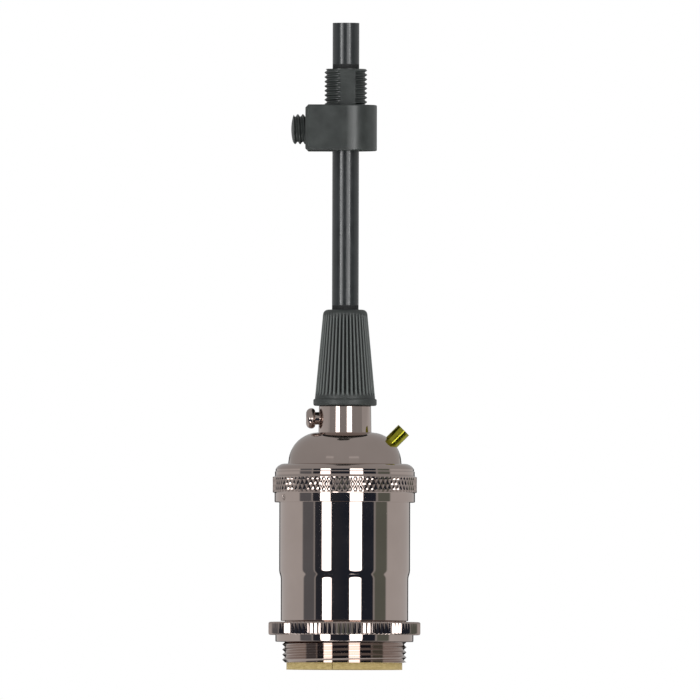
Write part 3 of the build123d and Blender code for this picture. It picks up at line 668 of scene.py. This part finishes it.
# The grip's set screw is the same nylon: a coarse moulded thread, a crowned outer end with a
# slot, and a flat tip that presses the cord.
set_screw_crest = 4.4
set_screw_root = 3.75
set_screw_pitch = 1.5
set_screw_first_crest = 1.15
set_screw_crown = 14
set_screw_crown_height = 0.8
set_screw_end = -16.0
set_screw_tip = -4.2
set_screw_slot = 1.3
set_screw_slot_depth = 1.8


def add_ball(radius, middle, segments):
    """A ball, with its place in its mesh."""
    bpy.ops.object.select_all(action="DESELECT")
    bpy.ops.mesh.primitive_uv_sphere_add(
        segments=segments,
        ring_count=segments // 2,
        radius=radius * mm,
        location=[at * mm for at in middle],
    )
    bpy.ops.object.transform_apply(location=True, rotation=True, scale=True)
    return bpy.context.object


def set_down(piece, tilt, location):
    """Tips a piece made on Z over towards X, and moves it to its place in metres."""
    choose(piece)
    piece.rotation_euler = (0, radians(tilt), 0)
    piece.location = location
    bpy.ops.object.transform_apply(location=True, rotation=True, scale=True)


grip_set_screw = cut_thread(
    "grip_set_screw",
    set_screw_crest,
    set_screw_root,
    set_screw_pitch,
    (0, set_screw_tip - set_screw_end),
    set_screw_first_crest,
    (0.5, 0.7),
)
crown = add_ball(set_screw_crown, (0, 0, set_screw_crown), 96)
combine(crown, add_rod(set_screw_crest + 1, 20, (0, 0, 10 + set_screw_crown_height)), "UNION")
combine(grip_set_screw, crown, "INTERSECT")
slot = add_block((12, set_screw_slot, 2 * set_screw_slot_depth), (0, 0, 0))
combine(grip_set_screw, slot, "DIFFERENCE")
set_down(grip_set_screw, 90, (set_screw_end * mm, 0, set_screw_height * mm))
tidy(grip_set_screw)
smooth(grip_set_screw, 30)
grip_set_screw.data.materials.append(moulded_nylon)
satin_pieces.objects.link(grip_set_screw)
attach(grip_set_screw, "grip_screw")
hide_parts("cord_grip_screw")

# The strain relief is a soft rubber sleeve that stops the cord from kinking. Forty rounded
# ribs run down its cone and fade out above a plain band and a flange.
sleeve_top_radius = 6.4
sleeve_base_radius = 8.85
sleeve_flange_top = -86.25
sleeve_flange_radius = 9.3
sleeve_flange_base = -88.25
sleeve_spigot_radius = 6.5
sleeve_end = -94.25
sleeve_bore = 3.98
rib_count = 40
rib_columns = 8
rib_rows = 40
rib_depth = 0.62
rib_top = -61.45
rib_foot = -85.75
groove_profile = ((0, 1.0), (1, 0.8), (2, 0.3))
groove_length = (
    (rib_top + 0.02, rib_top - 0.5, 0.4),
    (rib_top - 0.5, rib_top - 1.3, 0.8),
    (rib_top - 1.3, rib_foot + 1.3, 1.0),
    (rib_foot + 1.3, rib_foot + 0.7, 0.75),
)


def round_corners(piece, corners, segments=5):
    """Rounds a chain's corners, each given by its place across and up and a radius, in mm."""
    for across, up, radius in corners:
        pick(piece, "VERT", lambda p, n: hypot(p.x - across, p.z - up) < 0.01)
        bpy.ops.mesh.bevel(offset=radius * mm, segments=segments, affect="VERTICES")


def columns_away(point, count, columns):
    """How many columns of vertices lie between a point and the nearest of the grooves."""
    column = round(degrees(atan2(point.y, point.x)) * count * columns / 360 - 0.1) % columns
    return min(column, columns - column)


ribbed_sleeve = start_chain("ribbed_sleeve")
slope = (sleeve_base_radius - sleeve_top_radius) / (sleeve_flange_top - relief_top)
heights = [rib_top + (rib_foot - rib_top) * i / rib_rows for i in range(rib_rows + 1)]
flank = [(sleeve_top_radius + slope * (z - relief_top), 0, z) for z in heights]
draw_chain(
    [(sleeve_bore, 0, relief_top), (sleeve_top_radius, 0, relief_top)]
    + flank
    + [
        (sleeve_base_radius, 0, sleeve_flange_top),
        (sleeve_flange_radius, 0, sleeve_flange_top),
        (sleeve_flange_radius, 0, sleeve_flange_base),
        (sleeve_spigot_radius, 0, sleeve_flange_base),
        (sleeve_spigot_radius, 0, sleeve_end),
        (sleeve_bore, 0, sleeve_end),
        (sleeve_bore, 0, relief_top),
    ]
)
round_corners(
    ribbed_sleeve,
    [
        (sleeve_top_radius, relief_top, 1.35),
        (sleeve_flange_radius, sleeve_flange_top, 0.42),
        (sleeve_flange_radius, sleeve_flange_base, 0.5),
        (sleeve_base_radius, sleeve_flange_top, 0.2),
    ],
)
spin_chain(ribbed_sleeve, rib_count * rib_columns)
for column, depth in groove_profile:
    for first, last, share in groove_length:
        middle = sleeve_top_radius + slope * ((first + last) / 2 - relief_top)
        squeeze = 1 - rib_depth * depth * share / middle
        pick(
            ribbed_sleeve,
            "VERT",
            lambda p, n: last < p.z <= first
            and hypot(p.x, p.y) > sleeve_top_radius - 0.3
            and columns_away(p, rib_count, rib_columns) == column,
        )
        bpy.ops.transform.resize(
            value=(squeeze, squeeze, 1), center_override=(0, 0, 0), orient_type="GLOBAL"
        )
tidy(ribbed_sleeve)
smooth(ribbed_sleeve, 60)

# Moulded rubber is a dull dark grey, with painted highlight on the rib crests and painted shade in
# the grooves.
moulded_rubber, tree, shader, place = start_material("moulded_rubber")
grain = add_node(tree, "TexNoise", None, {"Vector": place, "Scale": 2600, "Detail": 5})
cloud = add_node(tree, "TexNoise", None, {"Vector": place, "Scale": 320, "Detail": 6})
shade = add_node(
    tree,
    "ValToRGB",
    {"stops": [(0.3, colour("#2c302f")), (0.72, colour("#3a3f3d"))]},
    {0: cloud.outputs[0]},
)
axes = add_node(tree, "SeparateXYZ", None, {0: place}).outputs
around = add_node(
    tree, "Math", {"operation": "ARCTAN2"}, {0: axes["Y"], 1: axes["X"]}
).outputs[0]
phase = add_node(tree, "Math", {"operation": "MULTIPLY"}, {0: around, 1: rib_count}).outputs[0]
wave = add_node(tree, "Math", {"operation": "COSINE"}, {0: phase}).outputs[0]
painted_groove_shade = add_node(tree, "MapRange", None, {0: wave, 1: -0.5, 2: 0.75}).outputs[0]
under = add_node(
    tree,
    "MapRange",
    None,
    {0: axes["Z"], 1: (relief_top - 2.4) * mm, 2: (relief_top - 0.8) * mm, 3: 1, 4: 0},
).outputs[0]
over = add_node(
    tree,
    "MapRange",
    None,
    {0: axes["Z"], 1: (rib_foot + 0.4) * mm, 2: (rib_foot + 1.0) * mm},
).outputs[0]
# Painted highlight makes the rib crests paler and painted shade darkens the grooves, along the
# ribbed length only.
painted_crest_highlight = add_node(tree, "MapRange", None, {0: wave, 1: 0.3, 2: -0.6}).outputs[0]
ribbed = add_node(tree, "Math", {"operation": "MULTIPLY"}, {0: under, 1: over}).outputs[0]
shade = shade.outputs[0]
for share, finish in ((painted_crest_highlight, "#626866"), (painted_groove_shade, "#161918")):
    share = add_node(tree, "Math", {"operation": "MULTIPLY"}, {0: share, 1: ribbed}).outputs[0]
    shade = add_node(
        tree, "Mix", {"data_type": "RGBA"}, {0: share, 6: shade, 7: colour(finish)}
    ).outputs[2]
tree.links.new(shade, shader["Base Color"])
dull = add_node(tree, "MapRange", None, {0: grain.outputs[0], 1: 0.3, 2: 0.7, 3: 0.42, 4: 0.55})
tree.links.new(dull.outputs[0], shader["Roughness"])
relief = add_node(
    tree, "Bump", None, {"Height": grain.outputs[0], "Strength": 0.4, "Distance": 0.03 * mm}
)
tree.links.new(relief.outputs[0], shader["Normal"])
ribbed_sleeve.data.materials.append(moulded_rubber)
satin_pieces.objects.link(ribbed_sleeve)
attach(ribbed_sleeve, "holder")
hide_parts("strain_relief")

# The cap is drawn from brass sheet, turned, knurled on its bead and plated. It has a neck for
# the strain relief, a quarter-round dome, and a skirt staked to the shell by two dimples.
neck_radius = 7.75
neck_bore = 6.55
neck_top = -88.25
neck_rim = 0.3
neck_taper = 0.13
dome_foot_angle = 7
dome_crown_angle = 78
dome_top = -96.05
dome_radius = 9.05
dome_centre = (7.5, -105.0965)
dome_wall = 1.0
shoulder_top = -105.2965
shoulder_round = 2.9
shoulder_x = 17.7
shoulder_base = -108.1965
shoulder_land = (26, 0.5)
foot_tuck = (0.166, 0.05)
cap_radius = 20.6
bead_top = -109.1
bead_base = -113.75
bead_radius = 21.15
bead_core = 20.75
bead_rim = 0.1
bead_rim_step = 0.14
bead_root = 0.3
knurl_reach = 0.35
skirt_end = -116.5965
knurl_count = 85
knurl_rows = (-109.93, -112.95)
knurl_ridge = 0.05
knurl_slope = 0.42
knurl_depth = 0.32
dimples = (210, 30)
dimple_height = -115.2
dimple_ball = 1.15
dimple_offset = 0.65
tube_tilt = 45


def arc(centre, radius, first, last, steps):
    """Points on an arc in the XZ plane, between two angles up from +X, in degrees."""
    angles = [radians(first + (last - first) * i / steps) for i in range(steps + 1)]
    return [(centre[0] + radius * cos(a), 0, centre[1] + radius * sin(a)) for a in angles]


domed_cap = start_chain("domed_cap")
shoulder_centre = (shoulder_x, shoulder_base)
land_angle, land_height = shoulder_land
land_x = shoulder_x + shoulder_round * cos(radians(land_angle))
land_z = shoulder_base + shoulder_round * sin(radians(land_angle))
draw_chain(
    [
        (neck_bore, 0, neck_top),
        (neck_radius - neck_taper, 0, neck_top),
        (neck_radius, 0, dome_top),
    ]
    + arc(dome_centre, dome_radius, dome_crown_angle, dome_foot_angle, 26)
    + [
        (
            dome_centre[0] + dome_radius * cos(radians(dome_foot_angle)) + foot_tuck[0],
            0,
            shoulder_top - foot_tuck[1],
        )
    ]
    + arc(shoulder_centre, shoulder_round, 90, land_angle, 10)
    + [(land_x, 0, land_z - land_height), (land_x + 0.12, 0, land_z - land_height - 0.12)]
    + [
        (cap_radius - 0.07, 0, shoulder_base + 0.5),
        (cap_radius - 0.105, 0, shoulder_base - 0.25),
        (cap_radius - 0.05, 0, bead_top + 0.2),
        (bead_core, 0, bead_top),
        (bead_core, 0, bead_base),
        (cap_radius, 0, bead_base - 0.2),
        (cap_radius, 0, skirt_end),
        (cap_radius - dome_wall, 0, skirt_end),
        (cap_radius - dome_wall, 0, shoulder_base),
    ]
    + arc(shoulder_centre, shoulder_round - dome_wall, 0, 90, 8)[1:]
    + [(dome_centre[0] + dome_radius - dome_wall, 0, shoulder_top - dome_wall)]
    + arc(
        dome_centre,
        dome_radius - dome_wall,
        0,
        degrees(acos((neck_bore - dome_centre[0]) / (dome_radius - dome_wall))),
        16,
    )
    + [(neck_bore, 0, neck_top)]
)
round_corners(
    domed_cap,
    [
        (neck_radius - neck_taper, neck_top, neck_rim),
        (cap_radius, skirt_end, 0.25),
        (cap_radius - dome_wall, skirt_end, 0.2),
    ],
    3,
)
spin_chain(domed_cap, 256)
for angle in dimples:
    reach = cap_radius + dimple_offset
    spot = (reach * cos(radians(angle)), reach * sin(radians(angle)), dimple_height)
    combine(domed_cap, add_ball(dimple_ball, spot, 32), "DIFFERENCE")
tube_way = Vector((cos(radians(tube_tilt)), 0, sin(radians(tube_tilt))))
tube_base = Vector((dome_centre[0], 0, dome_centre[1]))
combine(domed_cap, add_rod(2.22, 6, tube_base + tube_way * 8.5, tube_way), "DIFFERENCE")
combine(domed_cap, add_rod(1.9, 4, (-neck_radius, 0, -91.95), (1, 0, 0)), "DIFFERENCE")
tidy(domed_cap)

# The bead's knurl: a faceted band is poked and dissolved into diamonds, and each is pushed in.
bpy.ops.object.select_all(action="DESELECT")
knurl_step = knurl_rows[0] - knurl_rows[1]
bpy.ops.mesh.primitive_cylinder_add(
    vertices=knurl_count,
    radius=bead_radius * mm,
    depth=knurl_step * mm,
    end_fill_type="NOTHING",
    location=(0, 0, sum(knurl_rows) / 2 * mm),
)
bpy.ops.object.transform_apply(location=True, rotation=True, scale=True)
knurled_bead = bpy.context.object
knurled_bead.name = "knurled_bead"
for row, side in ((knurl_rows[0], 1), (knurl_rows[1], -1)):
    pick(knurled_bead, "EDGE", lambda p, along: abs(p.z - row) < 0.01 and abs(along.z) < 0.1)
    bpy.ops.mesh.extrude_region_move(
        TRANSFORM_OT_translate={"value": (0, 0, side * knurl_step * mm)}
    )
pick(knurled_bead, "FACE", lambda p, n: True)
bpy.ops.mesh.poke()
pick(
    knurled_bead,
    "EDGE",
    lambda p, along: abs(along.z) > 0.99
    or (abs(along.z) < 0.01 and min(abs(p.z - row) for row in knurl_rows) < 0.01),
)
bpy.ops.mesh.dissolve_edges(use_verts=False)
trim(bead_base + bead_rim, bead_top - bead_rim)
bpy.ops.object.mode_set(mode="OBJECT")
middle = sum(knurl_rows) / 2
pick(knurled_bead, "FACE", lambda p, n: abs(p.z - middle) < knurl_step / 2 + knurl_reach)
bpy.ops.mesh.normals_make_consistent(inside=False)
bpy.ops.mesh.inset(thickness=knurl_ridge * mm, depth=0, use_individual=True)
bpy.ops.mesh.inset(thickness=knurl_slope * mm, depth=-knurl_depth * mm, use_individual=True)
pick(
    knurled_bead,
    "EDGE",
    lambda p, along: abs(along.z) < 0.01
    and (p.z > bead_top - 0.11 or p.z < bead_base + 0.11),
)
rim = bead_radius
band_height = bead_top - bead_base - 2 * bead_rim
for radius, stretch in (
    (bead_radius - bead_rim_step, 1 + 2 * bead_rim / band_height),
    (cap_radius - bead_root, 1),
):
    bpy.ops.mesh.extrude_region_move(TRANSFORM_OT_translate={"value": (0, 0, 0)})
    bpy.ops.transform.resize(
        value=(radius / rim, radius / rim, stretch),
        center_override=(0, 0, (bead_top + bead_base) / 2 * mm),
    )
    rim = radius
bpy.ops.mesh.bridge_edge_loops()
tidy(knurled_bead)
smooth(knurled_bead, 35)
smooth(domed_cap, 28)

# Black nickel is plated bright over polished brass: a warm grey mirror, with a trace of the
# polishing mop in its gloss.
black_nickel, tree, shader, place = start_material("black_nickel_plate")
shader["Metallic"].default_value = 1
mop = add_node(tree, "TexNoise", None, {"Vector": place, "Scale": 90, "Detail": 4})
shade = add_node(
    tree,
    "ValToRGB",
    {"stops": [(0.3, colour("#b9aaa3")), (0.7, colour("#c0b1aa"))]},
    {0: mop.outputs[0]},
)
tree.links.new(shade.outputs[0], shader["Base Color"])
gloss = add_node(tree, "MapRange", None, {0: mop.outputs[0], 1: 0.3, 2: 0.7, 3: 0.03, 4: 0.07})
tree.links.new(gloss.outputs[0], shader["Roughness"])
domed_cap.data.materials.clear()
domed_cap.data.materials.append(black_nickel)
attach(domed_cap, "holder")
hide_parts("cap")
knurled_bead.data.materials.append(black_nickel)
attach(knurled_bead, "holder")

# The cap screw is turned from plated brass. Its rounded, slotted head stands clear of the
# neck, and its shank holds the strain relief's spigot.
side_screw_height = -91.95
side_screw_head = 3.0
side_screw_inner = -8.7
side_screw_outer = -11.4
side_screw_shank = 1.85
side_screw_tip = -5.3

side_screw = start_chain("side_screw")
draw_chain(
    [
        (0, 0, -side_screw_outer),
        (side_screw_head, 0, -side_screw_outer),
        (side_screw_head, 0, -side_screw_inner),
        (side_screw_shank, 0, -side_screw_inner),
        (side_screw_shank, 0, -side_screw_tip),
        (0, 0, -side_screw_tip),
    ]
)
round_corners(
    side_screw,
    [
        (side_screw_head, -side_screw_outer, 1.5),
        (side_screw_head, -side_screw_inner, 1.1),
        (side_screw_shank, -side_screw_inner, 0.25),
    ],
    6,
)
spin_chain(side_screw, 64)
combine(side_screw, add_block((8, 0.8, 2.2), (0, 0, -side_screw_outer)), "DIFFERENCE")
set_down(side_screw, -90, (0, 0, side_screw_height * mm))
tidy(side_screw)
smooth(side_screw, 32)
side_screw.data.materials.append(black_nickel)
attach(side_screw, "neck_screw")
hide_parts("cap_screw")

# The guide tube is a short end of brass tube, soldered square to the dome and lacquered.
tube_radius = 2.2
tube_bore = 1.7
tube_foot = 7.75
tube_length = 6.05

brass_guide = start_chain("brass_guide")
draw_chain(
    [
        (tube_bore, 0, 0),
        (tube_radius, 0, 0),
        (tube_radius, 0, tube_length),
        (tube_bore, 0, tube_length),
        (tube_bore, 0, 0),
    ]
)
round_corners(
    brass_guide,
    [(tube_radius, tube_length, 0.1), (tube_bore, tube_length, 0.08)],
    2,
)
spin_chain(brass_guide, 64)
set_down(brass_guide, 90 - tube_tilt, (tube_base + tube_way * tube_foot) * mm)
tidy(brass_guide)
smooth(brass_guide, 32)

# Tinted lacquer turns the brass olive, darker where it is thick.
lacquered_brass, tree, shader, place = start_material("lacquered_brass")
shader["Metallic"].default_value = 1
patina = add_node(tree, "TexNoise", None, {"Vector": place, "Scale": 420, "Detail": 5})
shade = add_node(
    tree,
    "ValToRGB",
    {"stops": [(0.3, colour("#9a9626")), (0.7, colour("#b4b03c"))]},
    {0: patina.outputs[0]},
)
tree.links.new(shade.outputs[0], shader["Base Color"])
shader["Roughness"].default_value = 0.16
brass_guide.data.materials.append(lacquered_brass)
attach(brass_guide, "holder")
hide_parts("guide_tube")

# The outer shell is turned brass, plated like the cap. It steps in below the insert's ledge,
# and a rolled thread at its lower end takes the shade and its ring.
shell_top = -107.8965
shell_radius = 19.2
shell_bore = 18.1
shell_ledge = -136.6965
step_end = -139.8965
shell_lower = 18.7
ring_stop = -151.3965
thread_crest = 18.22
thread_root = 17.45
thread_lead = 0.1
thread_pitch = 1.5
thread_bore = 17.1
shell_end = -163.5965
crest_at_left = -158.3
step_rows = 14
step_lift = 0.5

plated_shell = start_chain("plated_shell")
step_height = shell_ledge - step_end
step_curve = []
for i in range(step_rows + 1):
    t = i / step_rows
    drop = step_height * (1.5 * t * (1 - t) + t**3) - step_lift
    inset = (shell_radius - shell_lower) * (3 * t**2 - 2 * t**3)
    step_curve.append((shell_radius - inset, 0, shell_ledge - drop))
draw_chain(
    [
        (thread_root, 0, ring_stop),
        (thread_root, 0, shell_end),
        (thread_bore, 0, shell_end),
        (thread_bore, 0, shell_ledge),
        (shell_bore, 0, shell_ledge),
        (shell_bore, 0, shell_top),
        (shell_radius, 0, shell_top),
    ]
    + step_curve
    + [(shell_lower, 0, ring_stop), (thread_root, 0, ring_stop)]
)
round_corners(plated_shell, [(shell_radius, shell_top, 0.2), (shell_lower, ring_stop, 0.2)], 2)
spin_chain(plated_shell, 256)
ridge = [
    (-0.1, 0.03), (0.06, 0.03), (0.98, 0.49), (0.98, 0.51), (0.06, 0.97), (-0.1, 0.97),
    (-0.1, 0.03),
]
shell_thread = wind_thread(
    "shell_thread",
    thread_crest,
    thread_root,
    thread_pitch,
    (shell_end + thread_lead, ring_stop + thread_lead),
    crest_at_left + thread_pitch / 2,
    ridge,
    128,
)
tidy(shell_thread)
bpy.ops.object.mode_set(mode="OBJECT")
choose(plated_shell)
shell_thread.select_set(True)
bpy.ops.object.join()
tidy(plated_shell)
smooth(plated_shell, 32)
plated_shell.data.materials.append(black_nickel)
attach(plated_shell, "holder")
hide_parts("outer_shell")

# The shade ring is a turned, fluted nut of plated brass. It runs on the shell's thread and
# clamps a glass or metal shade from below.
ring_top = -151.6965
ring_radius = 22.3
ring_flange_end = -155.4965
ring_skirt = 20.25
ring_end = -157.4965
ring_bore = 18.27
ring_round = 0.5
flute_count = 100
flute_columns = 8
flute_depth = 0.46
flute_fade = [(21.9, 22.1, 0.6), (22.1, 22.24, 0.9), (22.24, 22.4, 1)]

fluted_ring = start_chain("fluted_ring")
draw_chain(
    [
        (ring_bore, 0, ring_top),
        (ring_radius, 0, ring_top),
        (ring_radius, 0, ring_flange_end),
        (ring_skirt, 0, ring_flange_end),
        (ring_skirt, 0, ring_end),
        (ring_bore, 0, ring_end),
        (ring_bore, 0, ring_top),
    ]
)
round_corners(
    fluted_ring,
    [
        (ring_radius, ring_top, ring_round),
        (ring_radius, ring_flange_end, ring_round),
        (ring_skirt, ring_end, 0.25),
        (ring_bore, ring_end, 0.3),
    ],
    5,
)
spin_chain(fluted_ring, flute_count * flute_columns)
for column in range(flute_columns // 2):
    depth = flute_depth * (1 - 2 * column / flute_columns)
    for inner, outer, share in flute_fade:
        pick(
            fluted_ring,
            "VERT",
            lambda p, n: inner < hypot(p.x, p.y) <= outer
            and columns_away(p, flute_count, flute_columns) == column,
        )
        squeeze = 1 - depth * share / inner
        bpy.ops.transform.resize(value=(squeeze, squeeze, 1), center_override=(0, 0, 0))
tidy(fluted_ring)
smooth(fluted_ring, 50)
fluted_ring.data.materials.append(black_nickel)
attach(fluted_ring, "ring")
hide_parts("shade_ring")

# The liner is vulcanised fibre, rolled from sheet so that its edges meet in a seam. It keeps
# the live screw shell from the metal around it.
vulcanised_fibre, tree, shader, place = start_material("vulcanised_fibre")
fibres = add_node(tree, "Mapping", None, {"Vector": place, "Scale": (1, 1, 3)}).outputs[0]
felt = add_node(tree, "TexNoise", None, {"Vector": fibres, "Scale": 700, "Detail": 7})
shade = add_node(
    tree,
    "ValToRGB",
    {"stops": [(0.3, colour("#b39c60")), (0.7, colour("#cfb97e"))]},
    {0: felt.outputs[0]},
)
tree.links.new(shade.outputs[0], shader["Base Color"])
shader["Roughness"].default_value = 0.7
relief = add_node(
    tree, "Bump", None, {"Height": felt.outputs[0], "Strength": 0.5, "Distance": 0.05 * mm}
)
tree.links.new(relief.outputs[0], shader["Normal"])
dress("insulating_liner", vulcanised_fibre)

# The insert is pressed porcelain, fired without a glaze: it carries the terminals above and
# the screw shell below, and looks chalky white with a few darker specks.
pressed_porcelain, tree, shader, place = start_material("unglazed_porcelain")
specks = add_node(tree, "TexNoise", None, {"Vector": place, "Scale": 650, "Detail": 5})
shade = add_node(
    tree,
    "ValToRGB",
    {"stops": [(0.3, colour("#e9e6dd")), (0.62, colour("#f1efe8")), (0.75, colour("#dcd7ca"))]},
    {0: specks.outputs[0]},
)
tree.links.new(shade.outputs[0], shader["Base Color"])
shader["Roughness"].default_value = 0.5
dress("insert_body", pressed_porcelain)

# The screw shell is rolled from thin brass sheet: a plain collar, three and a half turns of
# round thread for the lamp, and an end plate that two screws clamp to the insert.
lamp_minor = 12.35
lamp_major = 13.35
lamp_pitch = 25.4 / 7
collar_end = -159.9108
lamp_thread_start = -155.9108
plate_face = -141.3965
plate_hole = 6.5
plate_rise = 1
plate_round = 0.3
collar_lead = 0.8
sheet_thickness = 0.4
wave_points = 12
lamp_turns = 7
lamp_sides = 96

rolled_screw_shell = start_chain("rolled_screw_shell")
wave_middle = (lamp_minor + lamp_major) / 2
wave_height = (lamp_major - lamp_minor) / 2
first_turn = lamp_thread_start - 2 * lamp_pitch
draw_chain(
    [
        (
            wave_middle + wave_height * cos(2 * pi * i / wave_points),
            0,
            first_turn + lamp_pitch * i / wave_points,
        )
        for i in range(wave_points + 1)
    ]
)
wind(rolled_screw_shell, lamp_pitch, lamp_turns, lamp_sides)
trim(lamp_thread_start, plate_face - plate_rise)
bpy.ops.object.mode_set(mode="OBJECT")
collar_drop = collar_end - lamp_thread_start
for edge_height, steps in (
    (lamp_thread_start, [(-collar_lead, lamp_major), (collar_drop + collar_lead, lamp_major)]),
    (
        plate_face - plate_rise,
        [
            (plate_rise - plate_round, lamp_minor + plate_round),
            (plate_round, lamp_minor),
            (0, plate_hole),
        ],
    ),
):
    pick(
        rolled_screw_shell,
        "EDGE",
        lambda p, along: abs(p.z - edge_height) < 0.002 and abs(along.z) < 0.05,
    )
    for rise, radius in steps:
        bpy.ops.mesh.extrude_region_move(
            TRANSFORM_OT_translate={"value": (0, 0, rise * mm)}
        )
        bpy.ops.object.mode_set(mode="OBJECT")
        for vertex in rolled_screw_shell.data.vertices:
            if vertex.select:
                reach = hypot(vertex.co.x, vertex.co.y)
                vertex.co.xy = vertex.co.xy * (radius * mm / reach)
        bpy.ops.object.mode_set(mode="EDIT")
tidy(rolled_screw_shell)
thickness = rolled_screw_shell.modifiers.new("sheet", "SOLIDIFY")
thickness.thickness = sheet_thickness * mm
thickness.offset = 1
bpy.ops.object.modifier_apply(modifier=thickness.name)
tidy(rolled_screw_shell)
smooth(rolled_screw_shell, 60)

# Rolled brass is bright and faintly drawn round by the rollers.
rolled_brass, tree, shader, place = start_material("rolled_brass")
shader["Metallic"].default_value = 1
drawn = add_node(tree, "TexNoise", None, {"Vector": place, "Scale": 300, "Detail": 4})
shade = add_node(
    tree,
    "ValToRGB",
    {"stops": [(0.3, colour("#c59a4c")), (0.7, colour("#d9b36a"))]},
    {0: drawn.outputs[0]},
)
tree.links.new(shade.outputs[0], shader["Base Color"])
gloss = add_node(tree, "MapRange", None, {0: drawn.outputs[0], 1: 0.3, 2: 0.7, 3: 0.2, 4: 0.34})
tree.links.new(gloss.outputs[0], shader["Roughness"])
rolled_screw_shell.data.materials.append(rolled_brass)
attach(rolled_screw_shell, "holder")
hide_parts("screw_shell")

# Inside, brass terminals and a sprung centre contact carry the current, plated steel screws
# clamp the wires, and the cord's three cores fan out to them in coloured insulation.
plated_steel, tree, shader, place = start_material("zinc_plated_steel")
shader["Metallic"].default_value = 1
bloom = add_node(tree, "TexNoise", None, {"Vector": place, "Scale": 500, "Detail": 4})
shade = add_node(
    tree,
    "ValToRGB",
    {"stops": [(0.3, colour("#a9acae")), (0.7, colour("#c3c5c6"))]},
    {0: bloom.outputs[0]},
)
tree.links.new(shade.outputs[0], shader["Base Color"])
shader["Roughness"].default_value = 0.3

# The contact's spring is six turns of plated wire, ground flat at both ends. The lamp presses
# it up against the line terminal.
spring_radius = 2.45
spring_wire = 0.5
spring_turns = 6
spring_foot, spring_head = (corner[2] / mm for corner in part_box("contact_spring"))
spring_pitch = (spring_head - spring_foot - spring_wire) / spring_turns
wire_sides = 16
coil_spring = wind_thread(
    "coil_spring",
    spring_radius + spring_wire / 2,
    spring_radius - spring_wire / 2,
    spring_pitch,
    (spring_foot + 0.02, spring_head - 0.02),
    spring_head,
    [
        (
            0.5 + cos(2 * pi * side / wire_sides) / 2,
            sin(2 * pi * side / wire_sides) * spring_wire / spring_pitch / 2,
        )
        for side in range(wire_sides + 1)
    ],
    48,
)
tidy(coil_spring)
smooth(coil_spring, 50)
coil_spring.data.materials.append(plated_steel)
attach(coil_spring, "holder")
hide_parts("contact_spring")
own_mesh(coil_spring)

bright_copper, tree, shader, place = start_material("drawn_copper")
shader["Metallic"].default_value = 1
drawn = add_node(tree, "TexNoise", None, {"Vector": place, "Scale": 900, "Detail": 3})
shade = add_node(
    tree,
    "ValToRGB",
    {"stops": [(0.3, colour("#b8683f")), (0.7, colour("#d0825a"))]},
    {0: drawn.outputs[0]},
)
tree.links.new(shade.outputs[0], shader["Base Color"])
shader["Roughness"].default_value = 0.28
for node in ("centre_contact", "line_terminal", "neutral_terminal", "earth_strip"):
    dress(node, rolled_brass)
for node in (
    "shell_screws",
    "line_terminal_screw",
    "neutral_terminal_screw",
    "earth_terminal_screw",
):
    dress(node, plated_steel)
for core, dark, pale in (
    ("line", "#4f2f1e", "#5e3a27"),
    ("neutral", "#1f4f8f", "#2a5da0"),
    ("earth", "#3f7a2f", "#4d8a3a"),
):
    insulation, tree, shader, place = start_material(core + "_insulation")
    cloud = add_node(tree, "TexNoise", None, {"Vector": place, "Scale": 400, "Detail": 4})
    shade = add_node(
        tree,
        "ValToRGB",
        {"stops": [(0.3, colour(dark)), (0.7, colour(pale))]},
        {0: cloud.outputs[0]},
    )
    tree.links.new(shade.outputs[0], shader["Base Color"])
    shader["Roughness"].default_value = 0.4
    dress(core + "_core", insulation)
    dress(core + "_conductor", bright_copper)
